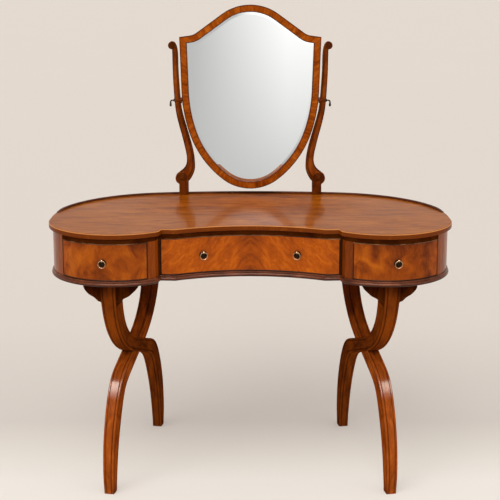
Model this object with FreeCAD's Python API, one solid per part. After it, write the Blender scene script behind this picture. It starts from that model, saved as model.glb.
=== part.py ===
import FreeCAD, Part

import math
import os

from FreeCAD import Vector

# Kidney-shaped dressing table on two crossed-leg supports, with a shield mirror on scroll posts.
# X runs along the table, Y from the front to the back, Z up from the floor.
# The origin is on the floor under the middle of the table. All sizes are in millimetres.

# Whole table
table_height = 760
half_length = 570
half_depth = 297
frieze_height = 148

# Plan of the top, from the end lobes round to the notches and the hollow middle bay
lobe_radius = 197
side_straight = 40
back_radius = 1904
notch_inset = 123
notch_return = 7
flat_length = 38
flat_setback = 69
bay_corner_setback = 67
bay_setback = 116

# Top, gallery, frieze and mouldings
top_thickness = 14
top_edge_round = 2
top_overhang = 11
gallery_height = 6
gallery_width = 10
gallery_start_inset = 302
top_frame_height = 14
frame_rail_width = 52
cross_rail_width = 40
bottom_thickness = 15
moulding_projection = 6
moulding_fillet_height = 5
moulding_fillet_setback = 3
end_panel_thickness = 16
back_panel_thickness = 12
back_panel_reach = 36
partition_thickness = 18
stile_depth = 24

# Drawer openings and the boxes in them
end_width = 53
stile_width = 30
stile_reveal = 1
front_gap = 0.8
front_thickness = 20
box_wall = 8
box_head_gap = 8.7
box_side_clearance = 1.2
box_end_setback = 10
box_bottom_thickness = 5
box_bottom_rise = 5
groove_depth = 4
side_box_reach = 357
bay_box_back_gap = 72
runner_height = 4
runner_width = 18
runner_lift = 0.3
guide_width = 5
guide_height = 16
guide_gap = 0.8
runner_setback = 117
stop_width = 30
stop_depth = 14
stop_height = 5
stop_gap = 0.4

# Ring pulls
side_pull_offset = 27
bay_pull_inset = 118
pull_rise = 59
plate_radius = 11
plate_thickness = 1.6
plate_drop = 8
boss_radius = 6
boss_height = 1.8
stem_radius = 2.2
eye_reach = 6.5
ball_radius = 3.6
ring_radius = 10
ring_wire_radius = 1.1
ring_eye_clearance = 1
bolt_radius = 1.8
bolt_clearance = 0.2
bolt_tail = 4
nut_radius = 4
nut_thickness = 3
nut_gap = 0.3
nut_side_count = 6

# Crossed-leg supports
support_inset = 222
support_y = 2
support_toe_in = 10.9
crossing_height_share = 0.582
leg_head_inset = 88
leg_foot_inset = 40
leg_depth = 50
leg_top_width = 44
leg_foot_width = 29
leg_tenon_length = 12
leg_tenon_width = 20
leg_tenon_depth = 40
bracket_length = 52
bracket_height = 72
bracket_thickness = 44
screw_radius = 2
screw_head_radius = 4
screw_head_height = 3
screw_length = 42
screw_inset = 16
screw_bite = 10

# Stations along a leg's centre line from the crossing to the top, then from the crossing to the foot.
# Each gives its shares of the reach, of the rise and of the leg's depth.
upper_leg_shares = (
    (0.27, 0.08, 0.85),
    (0.57, 0.22, 0.95),
    (0.79, 0.40, 1.08),
    (0.93, 0.62, 1.26),
    (0.985, 0.82, 1.38),
    (1, 1, 1.44),
)
lower_leg_shares = (
    (0.39, 0.098, 0.88),
    (0.63, 0.18, 0.98),
    (0.765, 0.30, 1.04),
    (0.87, 0.455, 1.05),
    (0.94, 0.605, 1.01),
    (0.985, 0.77, 0.90),
    (1, 0.9, 0.76),
    (1, 1, 0.62),
)
crossing_depth_share = 0.82

# Points down the curved edge of a bracket: shares of its length and of its height
bracket_shares = (
    (1, 0.1),
    (0.97, 0.32),
    (0.85, 0.45),
    (0.67, 0.57),
    (0.38, 0.69),
    (0.14, 0.83),
    (0, 1),
)

# Mirror posts
post_inset = 10
post_depth = 20
post_block_width = 29
post_block_height = 42
post_dowel_radius = 5
post_dowel_length = 10
volute_offset = 6
volute_rise = 52
volute_radius = 20
volute_relief = 2
scroll_offset = 32
scroll_rise = 465
scroll_radius = 12
stem_inner_offset = 35
stem_reach = 60
stem_rise = 477

# Points up the two edges of a post's stem: shares of its reach outwards from its innermost line,
# and of its rise above the top.
stem_inner_shares = (
    (0.50, 0.075),
    (0.30, 0.094),
    (0.12, 0.128),
    (0.017, 0.162),
    (0, 0.2),
    (0.02, 0.24),
    (0.09, 0.295),
    (0.24, 0.37),
    (0.50, 0.485),
    (0.645, 0.56),
    (0.72, 0.645),
    (0.775, 0.745),
    (0.81, 0.85),
    (0.825, 0.93),
    (0.88, 0.97),
    (1, 0.995),
    (1.12, 1),
)
stem_outer_shares = (
    (0.80, 0.150),
    (0.55, 0.178),
    (0.425, 0.215),
    (0.425, 0.26),
    (0.50, 0.31),
    (0.64, 0.385),
    (0.83, 0.475),
    (0.96, 0.555),
    (1.03, 0.645),
    (1.075, 0.75),
    (1.10, 0.85),
    (1.11, 0.94),
    (1.12, 0.97),
)

# Shield mirror
mirror_gap = 21
mirror_lean = 2.5
mirror_half_width = 218
shoulder_rise = 490
crest_drop = 98
shield_foot_radius = 140
shield_foot_turn = 37.5
shield_side_turn = 71
shield_flank_radius = 446
shield_flank_turn = 88
crest_radius = 148
crest_slope = 36
shoulder_radius = 45
shoulder_slope = 8
frame_width = 21
frame_depth = 20
frame_lip = 6
glass_lap = 7
glass_thickness = 4
glass_bevel_width = 8
glass_bevel_drop = 0.7
glass_clearance = 0.5
backboard_thickness = 5
pivot_rise = 296
pivot_radius = 3
pivot_clearance = 0.06
pivot_plate_height = 26
pivot_plate_depth = 12
pivot_plate_thickness = 2.5
pivot_engagement = 8
pivot_boss_radius = 9
pivot_boss_gap = 0.4
collar_radius = 5.5
collar_thickness = 3
collar_gap = 0.3
thumb_neck_radius = 1.8
thumb_reach = 9
thumb_drop = 16
thumb_drop_radius = 3.4
thumb_drop_length = 11

# Overrun of every cutting shape past what it cuts, and the play of a glued joint
overrun = 5
joint_play = 0.1

# Heights and faces that follow from the sizes above
top_underside = table_height - top_thickness
frieze_bottom = table_height - frieze_height
crossing_height = crossing_height_share * frieze_bottom
opening_top = top_underside - top_frame_height
opening_bottom = frieze_bottom + bottom_thickness
pull_height = opening_bottom + pull_rise
mirror_bottom = table_height + mirror_gap
shoulder_height = table_height + shoulder_rise
crest_height = shoulder_height + crest_drop
pivot_height = table_height + pivot_rise
front_y = -half_depth
gallery_start_y = half_depth - gallery_start_inset
lobe_centre = Vector(half_length - lobe_radius, lobe_radius - half_depth, 0)
notch_outer_x = lobe_centre.x - notch_inset
notch_inner_x = notch_outer_x - notch_return
bay_corner_x = notch_inner_x - flat_length
bay_drawer_half_width = notch_outer_x - stile_reveal
side_drawer_inner_x = bay_drawer_half_width + stile_width
side_drawer_outer_x = half_length - end_width
side_pull_x = lobe_centre.x + side_pull_offset
bay_pull_x = bay_drawer_half_width - bay_pull_inset
box_height = opening_top - box_head_gap - opening_bottom - runner_height - runner_lift
side_box_back_y = front_y + side_box_reach
bay_box_back_y = half_depth - bay_box_back_gap
runner_front_y = front_y + runner_setback
support_x = half_length - support_inset
upper_reach = half_depth - leg_head_inset
lower_reach = half_depth - leg_foot_inset
post_x = mirror_half_width - post_inset
volute_x = post_x + volute_offset
scroll_x = post_x + scroll_offset
stem_inner_x = post_x - stem_inner_offset
post_reach = post_x + post_block_width / 2
post_y = half_depth - back_radius + math.sqrt(back_radius**2 - post_reach**2) - post_depth / 2
stile_middle_x = (bay_drawer_half_width + side_drawer_inner_x) / 2
back_panel_half_length = stile_middle_x + back_panel_reach
stile_back_y = front_y + flat_setback + top_overhang + stile_depth
side_box_x0 = side_drawer_inner_x + box_side_clearance
side_box_x1 = side_drawer_outer_x - box_end_setback
bay_box_x1 = bay_drawer_half_width - box_side_clearance - guide_gap - guide_width
far = half_length + half_depth


os.makedirs("parts", exist_ok=True)


def save(name, shape):
    shape.exportStep("parts/" + name + ".step")


def mirrored(shape):
    return shape.mirror(Vector(0, 0, 0), Vector(1, 0, 0))


def flipped(point):
    return Vector(-point.x, point.y, point.z)


def box(x0, x1, y0, y1, z0, z1):
    return Part.makeBox(x1 - x0, y1 - y0, z1 - z0, Vector(x0, y0, z0))


def rod(radius, start, end):
    return Part.makeCylinder(radius, (end - start).Length, start, end - start)


def group(solids):
    return Part.makeCompound(solids)


def spline(points, start_tangent=None, end_tangent=None):
    curve = Part.BSplineCurve()
    if start_tangent is None:
        curve.interpolate(Points=points)
    else:
        curve.interpolate(Points=points, InitialTangent=start_tangent, FinalTangent=end_tangent)
    return curve


# Plan outline of the top: one closed wire of arcs and straights, the right half and its mirror image
def plan_outline():
    corner_y = lobe_centre.y + side_straight
    back_centre = Vector(0, half_depth - back_radius, 0)
    rise = corner_y - back_centre.y
    corner_radius = (back_radius**2 - half_length**2 - rise**2) / (2 * (back_radius - half_length))
    corner_centre = Vector(half_length - corner_radius, corner_y, 0)
    to_corner = (corner_centre - back_centre).normalize()
    lobe_span = notch_outer_x - lobe_centre.x
    bay_apex = Vector(0, front_y + bay_setback, 0)
    bay_corner = Vector(bay_corner_x, front_y + bay_corner_setback, 0)
    notch_inner = Vector(notch_inner_x, front_y + flat_setback, 0)
    notch_outer = Vector(notch_outer_x, lobe_centre.y - math.sqrt(lobe_radius**2 - lobe_span**2), 0)
    lobe_middle = lobe_centre + Vector(1, -1, 0).normalize() * lobe_radius
    side_front = Vector(half_length, lobe_centre.y, 0)
    side_back = Vector(half_length, corner_y, 0)
    corner_middle = corner_centre + (Vector(1, 0, 0) + to_corner).normalize() * corner_radius
    back_end = back_centre + to_corner * back_radius
    back_middle = Vector(0, half_depth, 0)
    curves = [
        Part.Arc(flipped(bay_corner), bay_apex, bay_corner),
        Part.LineSegment(bay_corner, notch_inner),
        Part.LineSegment(notch_inner, notch_outer),
        Part.Arc(notch_outer, lobe_middle, side_front),
        Part.LineSegment(side_front, side_back),
        Part.Arc(side_back, corner_middle, back_end),
        Part.Arc(back_end, back_middle, flipped(back_end)),
        Part.Arc(flipped(back_end), flipped(corner_middle), flipped(side_back)),
        Part.LineSegment(flipped(side_back), flipped(side_front)),
        Part.Arc(flipped(side_front), flipped(lobe_middle), flipped(notch_outer)),
        Part.LineSegment(flipped(notch_outer), flipped(notch_inner)),
        Part.LineSegment(flipped(notch_inner), flipped(bay_corner)),
    ]
    return Part.Wire([curve.toShape() for curve in curves])


top_outline = plan_outline()


def slab(inset, z0, z1):
    wire = top_outline.makeOffset2D(-inset, 2) if inset else top_outline.copy()
    wire.translate(Vector(0, 0, z0))
    return Part.Face(wire).extrude(Vector(0, 0, z1 - z0))


def band(outer_inset, inner_inset, z0, z1):
    return slab(outer_inset, z0, z1).cut(slab(inner_inset, z0 - overrun, z1 + overrun))


# Y of the frieze's face at a place along the lobe or the bay
def lobe_face_y(x, inset):
    return lobe_centre.y - math.sqrt((lobe_radius - inset) ** 2 - (abs(x) - lobe_centre.x) ** 2)


def bay_circle():
    chord = bay_corner_x
    sagitta = bay_setback - bay_corner_setback
    radius = (chord**2 + sagitta**2) / (2 * sagitta)
    return radius, front_y + bay_setback - radius


def bay_face_y(x, inset):
    radius, centre_y = bay_circle()
    return centre_y + math.sqrt((radius + inset) ** 2 - x**2)


# How far the hollow face lies behind a flat plate whose rim touches it
def bay_plate_hollow():
    return plate_radius**2 / (2 * bay_circle()[0])


# Table top with eased edges, and holes for the dowels of the mirror posts
def make_top():
    solid = slab(0, top_underside, table_height)
    rims = [edge for edge in solid.Edges if edge.BoundBox.ZLength < top_edge_round]
    solid = solid.makeFillet(top_edge_round, rims)
    for side in (-1, 1):
        foot = Vector(side * post_x, post_y, table_height - post_dowel_length - joint_play)
        solid = solid.cut(rod(post_dowel_radius + joint_play, foot, foot + Vector(0, 0, top_thickness)))
    return solid


# Low gallery round the back edge of the top, in three lengths between the mirror posts' blocks
def make_galleries():
    ring = band(0, gallery_width, table_height, table_height + gallery_height)
    heights = (table_height - overrun, table_height + gallery_height + overrun)
    outer_x = post_reach + joint_play
    inner_x = post_x - post_block_width / 2 - joint_play
    right = ring.common(box(outer_x, far, gallery_start_y, far, *heights))
    middle = ring.common(box(-inner_x, inner_x, 0, far, *heights))
    return mirrored(right), middle, right


# Frieze: bottom board, mouldings, end and back panels, stiles, partitions and the frame under the top
def make_bottom_board(holes):
    board = slab(top_overhang, frieze_bottom, opening_bottom)
    for hole in holes:
        board = board.cut(hole)
    return board


def make_mouldings():
    face = top_overhang - moulding_projection
    ring = band(face, top_overhang, frieze_bottom, opening_bottom)
    step_z = opening_bottom - moulding_fillet_height
    step = band(face - overrun, face + moulding_fillet_setback, step_z, opening_bottom + overrun)
    ring = ring.cut(step)
    heights = (frieze_bottom - overrun, opening_bottom + overrun)
    bay = ring.common(box(-bay_corner_x, bay_corner_x, -far, 0, *heights))
    front = ring.common(box(0, far, -far, 0, *heights)).cut(bay)
    end = ring.common(box(back_panel_half_length, far, 0, far, *heights))
    right = front.fuse(end).removeSplitter()
    return mirrored(right), bay, right


def shell(thickness):
    return band(top_overhang, top_overhang + thickness, opening_bottom, top_underside)


def make_panels():
    heights = (frieze_bottom, table_height)
    end_ring = shell(end_panel_thickness)
    outer = end_ring.common(box(back_panel_half_length, far, -far, far, *heights))
    right = outer.cut(box(0, side_drawer_outer_x, -far, 0, *heights))
    back_ring = shell(back_panel_thickness)
    back = back_ring.common(box(-back_panel_half_length, back_panel_half_length, 0, far, *heights))
    return mirrored(right), back, right


def make_stile():
    heights = (opening_bottom, opening_top)
    column = box(bay_drawer_half_width, side_drawer_inner_x, -far, stile_back_y, *heights)
    return slab(top_overhang, *heights).common(column)


def make_partition():
    heights = (opening_bottom, opening_top)
    half = partition_thickness / 2
    board = box(stile_middle_x - half, stile_middle_x + half, stile_back_y, far, *heights)
    return board.common(slab(top_overhang + back_panel_thickness, *heights))


def make_top_frame(panels):
    frame = slab(top_overhang, opening_top, top_underside)
    for panel in panels:
        frame = frame.cut(panel)
    heights = (opening_top - overrun, top_underside + overrun)
    half = cross_rail_width / 2
    rail = box(stile_middle_x - half, stile_middle_x + half, -far, far, *heights)
    pocket = slab(top_overhang + frame_rail_width, *heights).cut(rail).cut(mirrored(rail))
    return frame.cut(pocket)


# Runner with its guide, under and beside one drawer side. It stands on the bottom board.
def make_runner(box_x, side, y0, y1):
    near = box_x + side * (guide_gap + guide_width)
    inner = near - side * (runner_width + guide_width)
    base = box(min(near, inner), max(near, inner), y0, y1, opening_bottom, opening_bottom + runner_height)
    guide_x = box_x + side * guide_gap
    guide_top = opening_bottom + runner_height + guide_height
    guide = box(min(near, guide_x), max(near, guide_x), y0, y1, opening_bottom, guide_top)
    return base.fuse(guide).removeSplitter()


# Stop block behind a drawer front, glued to the bottom board
def make_stop(x):
    near = top_overhang + front_thickness + stop_gap
    ring = band(near, near + stop_depth, opening_bottom, opening_bottom + stop_height)
    return ring.common(box(x - stop_width / 2, x + stop_width / 2, -far, lobe_centre.y, 0, table_height))


# One drawer: a shaped front, two sides, a back and a bottom panel held in grooves
def make_drawer(x0, x1, box_x0, box_x1, back_y, pull_bolts):
    box_bottom = opening_bottom + runner_height + runner_lift
    box_top = box_bottom + box_height
    fronts = (opening_bottom + front_gap, opening_top - front_gap)
    front_ring = band(top_overhang, top_overhang + front_thickness, *fronts)
    front = front_ring.common(box(x0 + front_gap, x1 - front_gap, -far, lobe_centre.y, *fronts))
    inside = slab(top_overhang + front_thickness, box_bottom - overrun, box_top + overrun)
    panel_z = box_bottom + box_bottom_rise
    panel = box(
        box_x0 + box_wall - groove_depth,
        box_x1 - box_wall + groove_depth,
        -far,
        back_y,
        panel_z,
        panel_z + box_bottom_thickness,
    ).common(slab(top_overhang + front_thickness - groove_depth, 0, table_height))
    left = box(box_x0, box_x0 + box_wall, -far, back_y, box_bottom, box_top).common(inside)
    right = box(box_x1 - box_wall, box_x1, -far, back_y, box_bottom, box_top).common(inside)
    back = box(
        box_x0 + box_wall,
        box_x1 - box_wall,
        back_y - box_wall,
        back_y,
        panel_z + box_bottom_thickness,
        box_top,
    )
    front = front.cut(panel)
    for bolt in pull_bolts:
        front = front.cut(bolt)
    return {
        "front": front,
        "left_side": left.cut(panel),
        "right_side": right.cut(panel),
        "back": back,
        "bottom": panel,
    }


# Ring pull in its own frame: the plate's back on Y = 0, the drawer's face behind it at +Y
def make_pull():
    plate_centre = Vector(0, 0, -plate_drop)
    plate = rod(plate_radius, plate_centre, plate_centre - Vector(0, plate_thickness, 0))
    boss = rod(boss_radius, plate_centre, plate_centre - Vector(0, plate_thickness + boss_height, 0))
    eye = Vector(0, -plate_thickness - eye_reach, 0)
    stem = rod(stem_radius, Vector(0, 0, 0), eye)
    ball = Part.makeSphere(ball_radius, eye)
    bolt_end = Vector(0, front_thickness + bolt_tail, 0)
    bolt = rod(bolt_radius, Vector(0, 0, 0), bolt_end)
    mount = plate.fuse([boss, stem, ball, bolt])
    across = Vector(ball_radius + overrun, 0, 0)
    mount = mount.cut(rod(ring_wire_radius + ring_eye_clearance, eye - across, eye + across))
    ring = Part.makeTorus(ring_radius, ring_wire_radius, eye - Vector(0, 0, ring_radius), Vector(0, 1, 0))
    hole = rod(bolt_radius + bolt_clearance, Vector(0, -overrun, 0), bolt_end + Vector(0, overrun, 0))
    return mount, ring, hole


def make_nut(hollow):
    corners = []
    near = front_thickness + nut_gap + hollow
    for index in range(nut_side_count + 1):
        angle = 2 * math.pi * index / nut_side_count
        corners.append(Vector(nut_radius * math.cos(angle), near, nut_radius * math.sin(angle)))
    nut = Part.Face(Part.makePolygon(corners)).extrude(Vector(0, nut_thickness, 0))
    hole_end = Vector(0, near + nut_thickness + overrun, 0)
    return nut.cut(rod(bolt_radius, Vector(0, 0, 0), hole_end))


# Where each pull sits on its front, and the turn that squares it to the curved face
def pull_places():
    radius, bay_centre_y = bay_circle()
    side_turn = math.degrees(math.asin((side_pull_x - lobe_centre.x) / (lobe_radius - top_overhang)))
    bay_turn = math.degrees(math.asin(bay_pull_x / (radius + top_overhang)))
    side_y = lobe_face_y(side_pull_x, top_overhang)
    bay_y = bay_face_y(bay_pull_x, top_overhang) - bay_plate_hollow()
    return {
        "left_drawer": (Vector(-side_pull_x, side_y, pull_height), -side_turn),
        "bay_drawer_left": (Vector(-bay_pull_x, bay_y, pull_height), bay_turn),
        "bay_drawer_right": (Vector(bay_pull_x, bay_y, pull_height), -bay_turn),
        "right_drawer": (Vector(side_pull_x, side_y, pull_height), side_turn),
    }


def placed(shape, place, turn):
    moved = shape.copy()
    moved.rotate(Vector(0, 0, 0), Vector(0, 0, 1), turn)
    moved.translate(place)
    return moved


# A leg's side outline from stations on its centre line, X standing for the reach along the support
def leg_side_face():
    centres = [Vector(0, 0, crossing_height)]
    depths = [crossing_depth_share * leg_depth]
    upper_rise = frieze_bottom - crossing_height
    for reach_share, rise_share, depth_share in upper_leg_shares:
        centres.insert(0, Vector(-upper_reach * reach_share, 0, crossing_height + upper_rise * rise_share))
        depths.insert(0, leg_depth * depth_share)
    for reach_share, drop_share, depth_share in lower_leg_shares:
        centres.append(Vector(lower_reach * reach_share, 0, crossing_height * (1 - drop_share)))
        depths.append(leg_depth * depth_share)
    down = Vector(0, 0, -1)
    middle = spline(centres, down, down)
    edges = []
    for side in (-1, 1):
        points = []
        for centre, depth in zip(centres, depths):
            along = middle.tangent(middle.parameter(centre))[0]
            points.append(centre + Vector(-along.z, 0, along.x) * (side * depth / 2))
        edges.append(spline(points, down, down).toShape())
    first, second = edges
    top = Part.LineSegment(first.Vertexes[0].Point, second.Vertexes[0].Point).toShape()
    foot = Part.LineSegment(first.Vertexes[-1].Point, second.Vertexes[-1].Point).toShape()
    return Part.Face(Part.Wire([top, first, foot, second]))


# Leg in the support's frame: X along the support, Y across it, tapering in width to the foot.
# It starts from its top at -X and ends at its foot at +X.
def make_leg():
    side = leg_side_face()
    half_top = leg_top_width / 2
    half_foot = leg_foot_width / 2
    side.translate(Vector(0, -half_top, 0))
    blank = side.extrude(Vector(0, leg_top_width, 0))
    corners = [
        Vector(-far, -half_foot, 0),
        Vector(-far, half_foot, 0),
        Vector(-far, half_top, frieze_bottom),
        Vector(-far, -half_top, frieze_bottom),
        Vector(-far, -half_foot, 0),
    ]
    taper = Part.Face(Part.makePolygon(corners)).extrude(Vector(2 * far, 0, 0))
    return blank.common(taper)


def leg_tenon(play):
    centre = -upper_reach
    half_depth_here = leg_tenon_depth / 2 + play
    half_width_here = leg_tenon_width / 2 + play
    return box(
        centre - half_depth_here,
        centre + half_depth_here,
        -half_width_here,
        half_width_here,
        frieze_bottom,
        frieze_bottom + leg_tenon_length + play,
    )


# Shaped bracket beside the head of a leg, with its screw hole
def make_bracket():
    x0 = -upper_reach - bracket_thickness / 2
    inner = leg_top_width / 2
    points = []
    for length_share, height_share in bracket_shares:
        drop = bracket_height * height_share
        points.append(Vector(x0, inner + bracket_length * length_share, frieze_bottom - drop))
    corners = [
        points[-1],
        Vector(x0, 0, frieze_bottom - bracket_height),
        Vector(x0, 0, frieze_bottom),
        Vector(x0, inner + bracket_length, frieze_bottom),
        points[0],
    ]
    down = Vector(0, 0, -1)
    curves = [spline(points, down, down)]
    for index in range(len(corners) - 1):
        curves.append(Part.LineSegment(corners[index], corners[index + 1]))
    face = Part.Face(Part.Wire([curve.toShape() for curve in curves]))
    return face.extrude(Vector(bracket_thickness, 0, 0))


def make_screw(play):
    tip = Vector(-upper_reach, leg_top_width / 2 + screw_inset, frieze_bottom + screw_bite + play)
    head = tip - Vector(0, 0, screw_length + play)
    shank = rod(screw_radius + play, head, tip)
    return shank.fuse(Part.makeCone(screw_head_radius + play, screw_radius + play, screw_head_height, head))


def screw_well():
    head = Vector(-upper_reach, leg_top_width / 2 + screw_inset, frieze_bottom + screw_bite - screw_length)
    return rod(screw_head_radius + joint_play, head - Vector(0, 0, bracket_height), head)


# The two legs, the brackets and the screws of one support, in the support's frame
def make_support():
    rear_leg = make_leg()
    front_leg = rear_leg.mirror(Vector(0, 0, 0), Vector(1, 0, 0))
    crossing = rear_leg.common(front_leg)
    lap = leg_top_width
    inner_half = box(-far, far, 0, lap, 0, frieze_bottom)
    outer_half = box(-far, far, -lap, 0, 0, frieze_bottom)
    rear_leg = rear_leg.cut(crossing.common(outer_half))
    front_leg = front_leg.cut(crossing.common(inner_half))
    brackets = []
    screws = []
    screw_holes = []
    for leg in (rear_leg, front_leg):
        for across in (-1, 1):
            bracket = make_bracket()
            screw = make_screw(0)
            pieces = [bracket, screw, make_screw(joint_play), screw_well()]
            if across < 0:
                pieces = [piece.mirror(Vector(0, 0, 0), Vector(0, 1, 0)) for piece in pieces]
            if leg is front_leg:
                pieces = [piece.mirror(Vector(0, 0, 0), Vector(1, 0, 0)) for piece in pieces]
            bracket, screw, hole, well = pieces
            brackets.append(bracket.cut(leg).cut(hole).cut(well))
            screws.append(screw)
            screw_holes.append(hole)
    tenon = leg_tenon(0)
    tenon_holes = [leg_tenon(joint_play)]
    tenon_holes.append(tenon_holes[0].mirror(Vector(0, 0, 0), Vector(1, 0, 0)))
    rear_leg = rear_leg.fuse(tenon)
    front_leg = front_leg.fuse(tenon.mirror(Vector(0, 0, 0), Vector(1, 0, 0)))
    return rear_leg, front_leg, brackets, screws, screw_holes, tenon_holes


# From the support's frame to the table's right side: toed in, with its lap side towards the knees
def on_right(shape):
    turned = shape.copy()
    turned.rotate(Vector(0, 0, 0), Vector(0, 0, 1), 90)
    turned.rotate(Vector(0, 0, 0), Vector(0, 0, 1), support_toe_in)
    turned.translate(Vector(support_x, support_y, 0))
    return turned


# Scroll post of the mirror, on the right, drawn flat and given its depth
def stem_points(shares):
    points = []
    for reach_share, rise_share in shares:
        x = stem_inner_x + stem_reach * reach_share
        points.append(Vector(x, 0, table_height + stem_rise * rise_share))
    return points


def disc(x, rise, radius, half_thickness):
    centre = Vector(x, 0, table_height + rise)
    across = Vector(0, half_thickness, 0)
    return rod(radius, centre - across, centre + across)


def make_post():
    half = post_depth / 2
    inner = stem_points(stem_inner_shares)
    outer = stem_points(stem_outer_shares)
    edges = [
        spline(inner).toShape(),
        Part.LineSegment(inner[-1], outer[-1]).toShape(),
        spline(outer).toShape(),
        Part.LineSegment(outer[0], inner[0]).toShape(),
    ]
    stem = Part.Face(Part.Wire(edges))
    stem.translate(Vector(0, volute_relief - half, 0))
    stem = stem.extrude(Vector(0, post_depth - 2 * volute_relief, 0))
    block = box(
        post_x - post_block_width / 2,
        post_x + post_block_width / 2,
        -half,
        half,
        table_height,
        table_height + post_block_height,
    )
    dowel_foot = Vector(post_x, 0, table_height - post_dowel_length)
    dowel = rod(post_dowel_radius, dowel_foot, dowel_foot + Vector(0, 0, post_dowel_length + overrun))
    volute = disc(volute_x, volute_rise, volute_radius, half)
    scroll = disc(scroll_x, scroll_rise, scroll_radius, half)
    post = stem.fuse([block, dowel, volute, scroll])
    post.translate(Vector(0, post_y, 0))
    return post


# Move along a unit circle that turns left from one heading to another, in the X-Z plane
def unit_arc(start, end):
    return Vector(math.sin(end) - math.sin(start), 0, math.cos(start) - math.cos(end))


def unit_run(heading):
    return Vector(math.cos(heading), 0, math.sin(heading))


# Arc from a start point, to the left with a positive radius and to the right with a negative one
def turn_edge(start, radius, heading, last_heading):
    middle = start + unit_arc(heading, (heading + last_heading) / 2) * radius
    return Part.Arc(start, middle, start + unit_arc(heading, last_heading) * radius)


# The two factors that make one move out of two others
def split_move(total, first, second):
    across = first.x * second.z - first.z * second.x
    first_factor = (total.x * second.z - total.z * second.x) / across
    second_factor = (first.x * total.z - first.z * total.x) / across
    return first_factor, second_factor


# Shield outline of the mirror: three arcs and a run up the side, then a run, a hollow, a run and the
# arc of the crest
def shield_outline():
    foot_turn = math.radians(shield_foot_turn)
    side_turn = math.radians(shield_side_turn)
    flank_turn = math.radians(shield_flank_turn)
    leave = math.pi - math.radians(shoulder_slope)
    climb = math.pi - math.radians(crest_slope)
    bottom = Vector(0, 0, mirror_bottom)
    shoulder = Vector(mirror_half_width, 0, shoulder_height)
    crest = Vector(0, 0, crest_height)
    foot_move = unit_arc(0, foot_turn) * shield_foot_radius
    flank_move = unit_arc(side_turn, flank_turn) * shield_flank_radius
    hollow_move = unit_arc(leave, climb) * -shoulder_radius
    crest_move = unit_arc(climb, math.pi) * crest_radius
    side_total = shoulder - bottom - foot_move - flank_move
    side_radius, upper_run = split_move(side_total, unit_arc(foot_turn, side_turn), unit_run(flank_turn))
    crest_total = crest - shoulder - hollow_move - crest_move
    shoulder_run, climb_run = split_move(crest_total, unit_run(leave), unit_run(climb))
    flank_end = shoulder - unit_run(flank_turn) * upper_run
    hollow_start = shoulder + unit_run(leave) * shoulder_run
    crest_start = crest - crest_move
    pieces = [
        turn_edge(bottom, shield_foot_radius, 0, foot_turn),
        turn_edge(bottom + foot_move, side_radius, foot_turn, side_turn),
        turn_edge(flank_end - flank_move, shield_flank_radius, side_turn, flank_turn),
        Part.LineSegment(flank_end, shoulder),
        Part.LineSegment(shoulder, hollow_start),
        turn_edge(hollow_start, -shoulder_radius, leave, climb),
        Part.LineSegment(crest_start - unit_run(climb) * climb_run, crest_start),
        turn_edge(crest_start, crest_radius, climb, math.pi),
    ]
    half = [piece.toShape() for piece in pieces]
    return Part.Wire(Part.sortEdges(half + [mirrored(edge) for edge in half])[0])


mirror_outline = shield_outline()


def shield_wire(inset, y):
    wire = mirror_outline.makeOffset2D(-inset, 2) if inset else mirror_outline.copy()
    wire.translate(Vector(0, y, 0))
    return wire


def shield_slab(inset, y0, y1):
    return Part.Face(shield_wire(inset, y0)).extrude(Vector(0, y1 - y0, 0))


# Mirror frame, glass and backboard, and the plates let into the frame at its pivots
def make_mirror():
    front = post_y - frame_depth / 2
    back = front + frame_depth
    seat = front + frame_lip
    rebate = frame_width - glass_lap
    blank = shield_slab(0, front, back)
    frame = blank.cut(shield_slab(frame_width, front - overrun, back + overrun))
    frame = frame.cut(shield_slab(rebate, seat, back + overrun))
    glass_inset = rebate + glass_clearance
    glass = shield_slab(glass_inset, seat, seat + glass_thickness)
    bevel_inset = frame_width + glass_clearance
    bevel = Part.makeLoft(
        [
            shield_wire(bevel_inset, seat),
            shield_wire(bevel_inset + glass_bevel_width, seat - glass_bevel_drop),
        ],
        True,
        True,
    )
    glass = glass.fuse(bevel)
    board = shield_slab(glass_inset, seat + glass_thickness, seat + glass_thickness + backboard_thickness)
    pivot_line = Part.makeLine(Vector(0, post_y, pivot_height), Vector(far, post_y, pivot_height))
    edge_x = blank.common(pivot_line).BoundBox.XMax
    swept = box(0, far, -far, far, pivot_height - pivot_boss_radius, pivot_height + pivot_boss_radius)
    boss_x = blank.common(swept).BoundBox.XMax + pivot_boss_gap
    plate = box(
        edge_x - pivot_plate_thickness,
        edge_x,
        post_y - pivot_plate_depth / 2,
        post_y + pivot_plate_depth / 2,
        pivot_height - pivot_plate_height / 2,
        pivot_height + pivot_plate_height / 2,
    )
    recess = plate.fuse(plate.translated(Vector(pivot_plate_thickness, 0, 0)))
    axis_start = Vector(edge_x - pivot_engagement - collar_gap, post_y, pivot_height)
    axis_end = Vector(edge_x + overrun, post_y, pivot_height)
    plate = plate.cut(rod(pivot_radius + pivot_clearance, axis_start, axis_end))
    bore = rod(pivot_radius + collar_gap, axis_start, axis_end)
    for cutter in (recess, bore):
        frame = frame.cut(cutter).cut(mirrored(cutter))
    return frame, glass, board, plate, edge_x, boss_x


# The mirror's pieces as they stand at rest, turned back a little about the pivots
def leaning(shape):
    leant = shape.copy()
    leant.rotate(Vector(0, post_y, pivot_height), Vector(1, 0, 0), -mirror_lean)
    return leant


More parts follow.
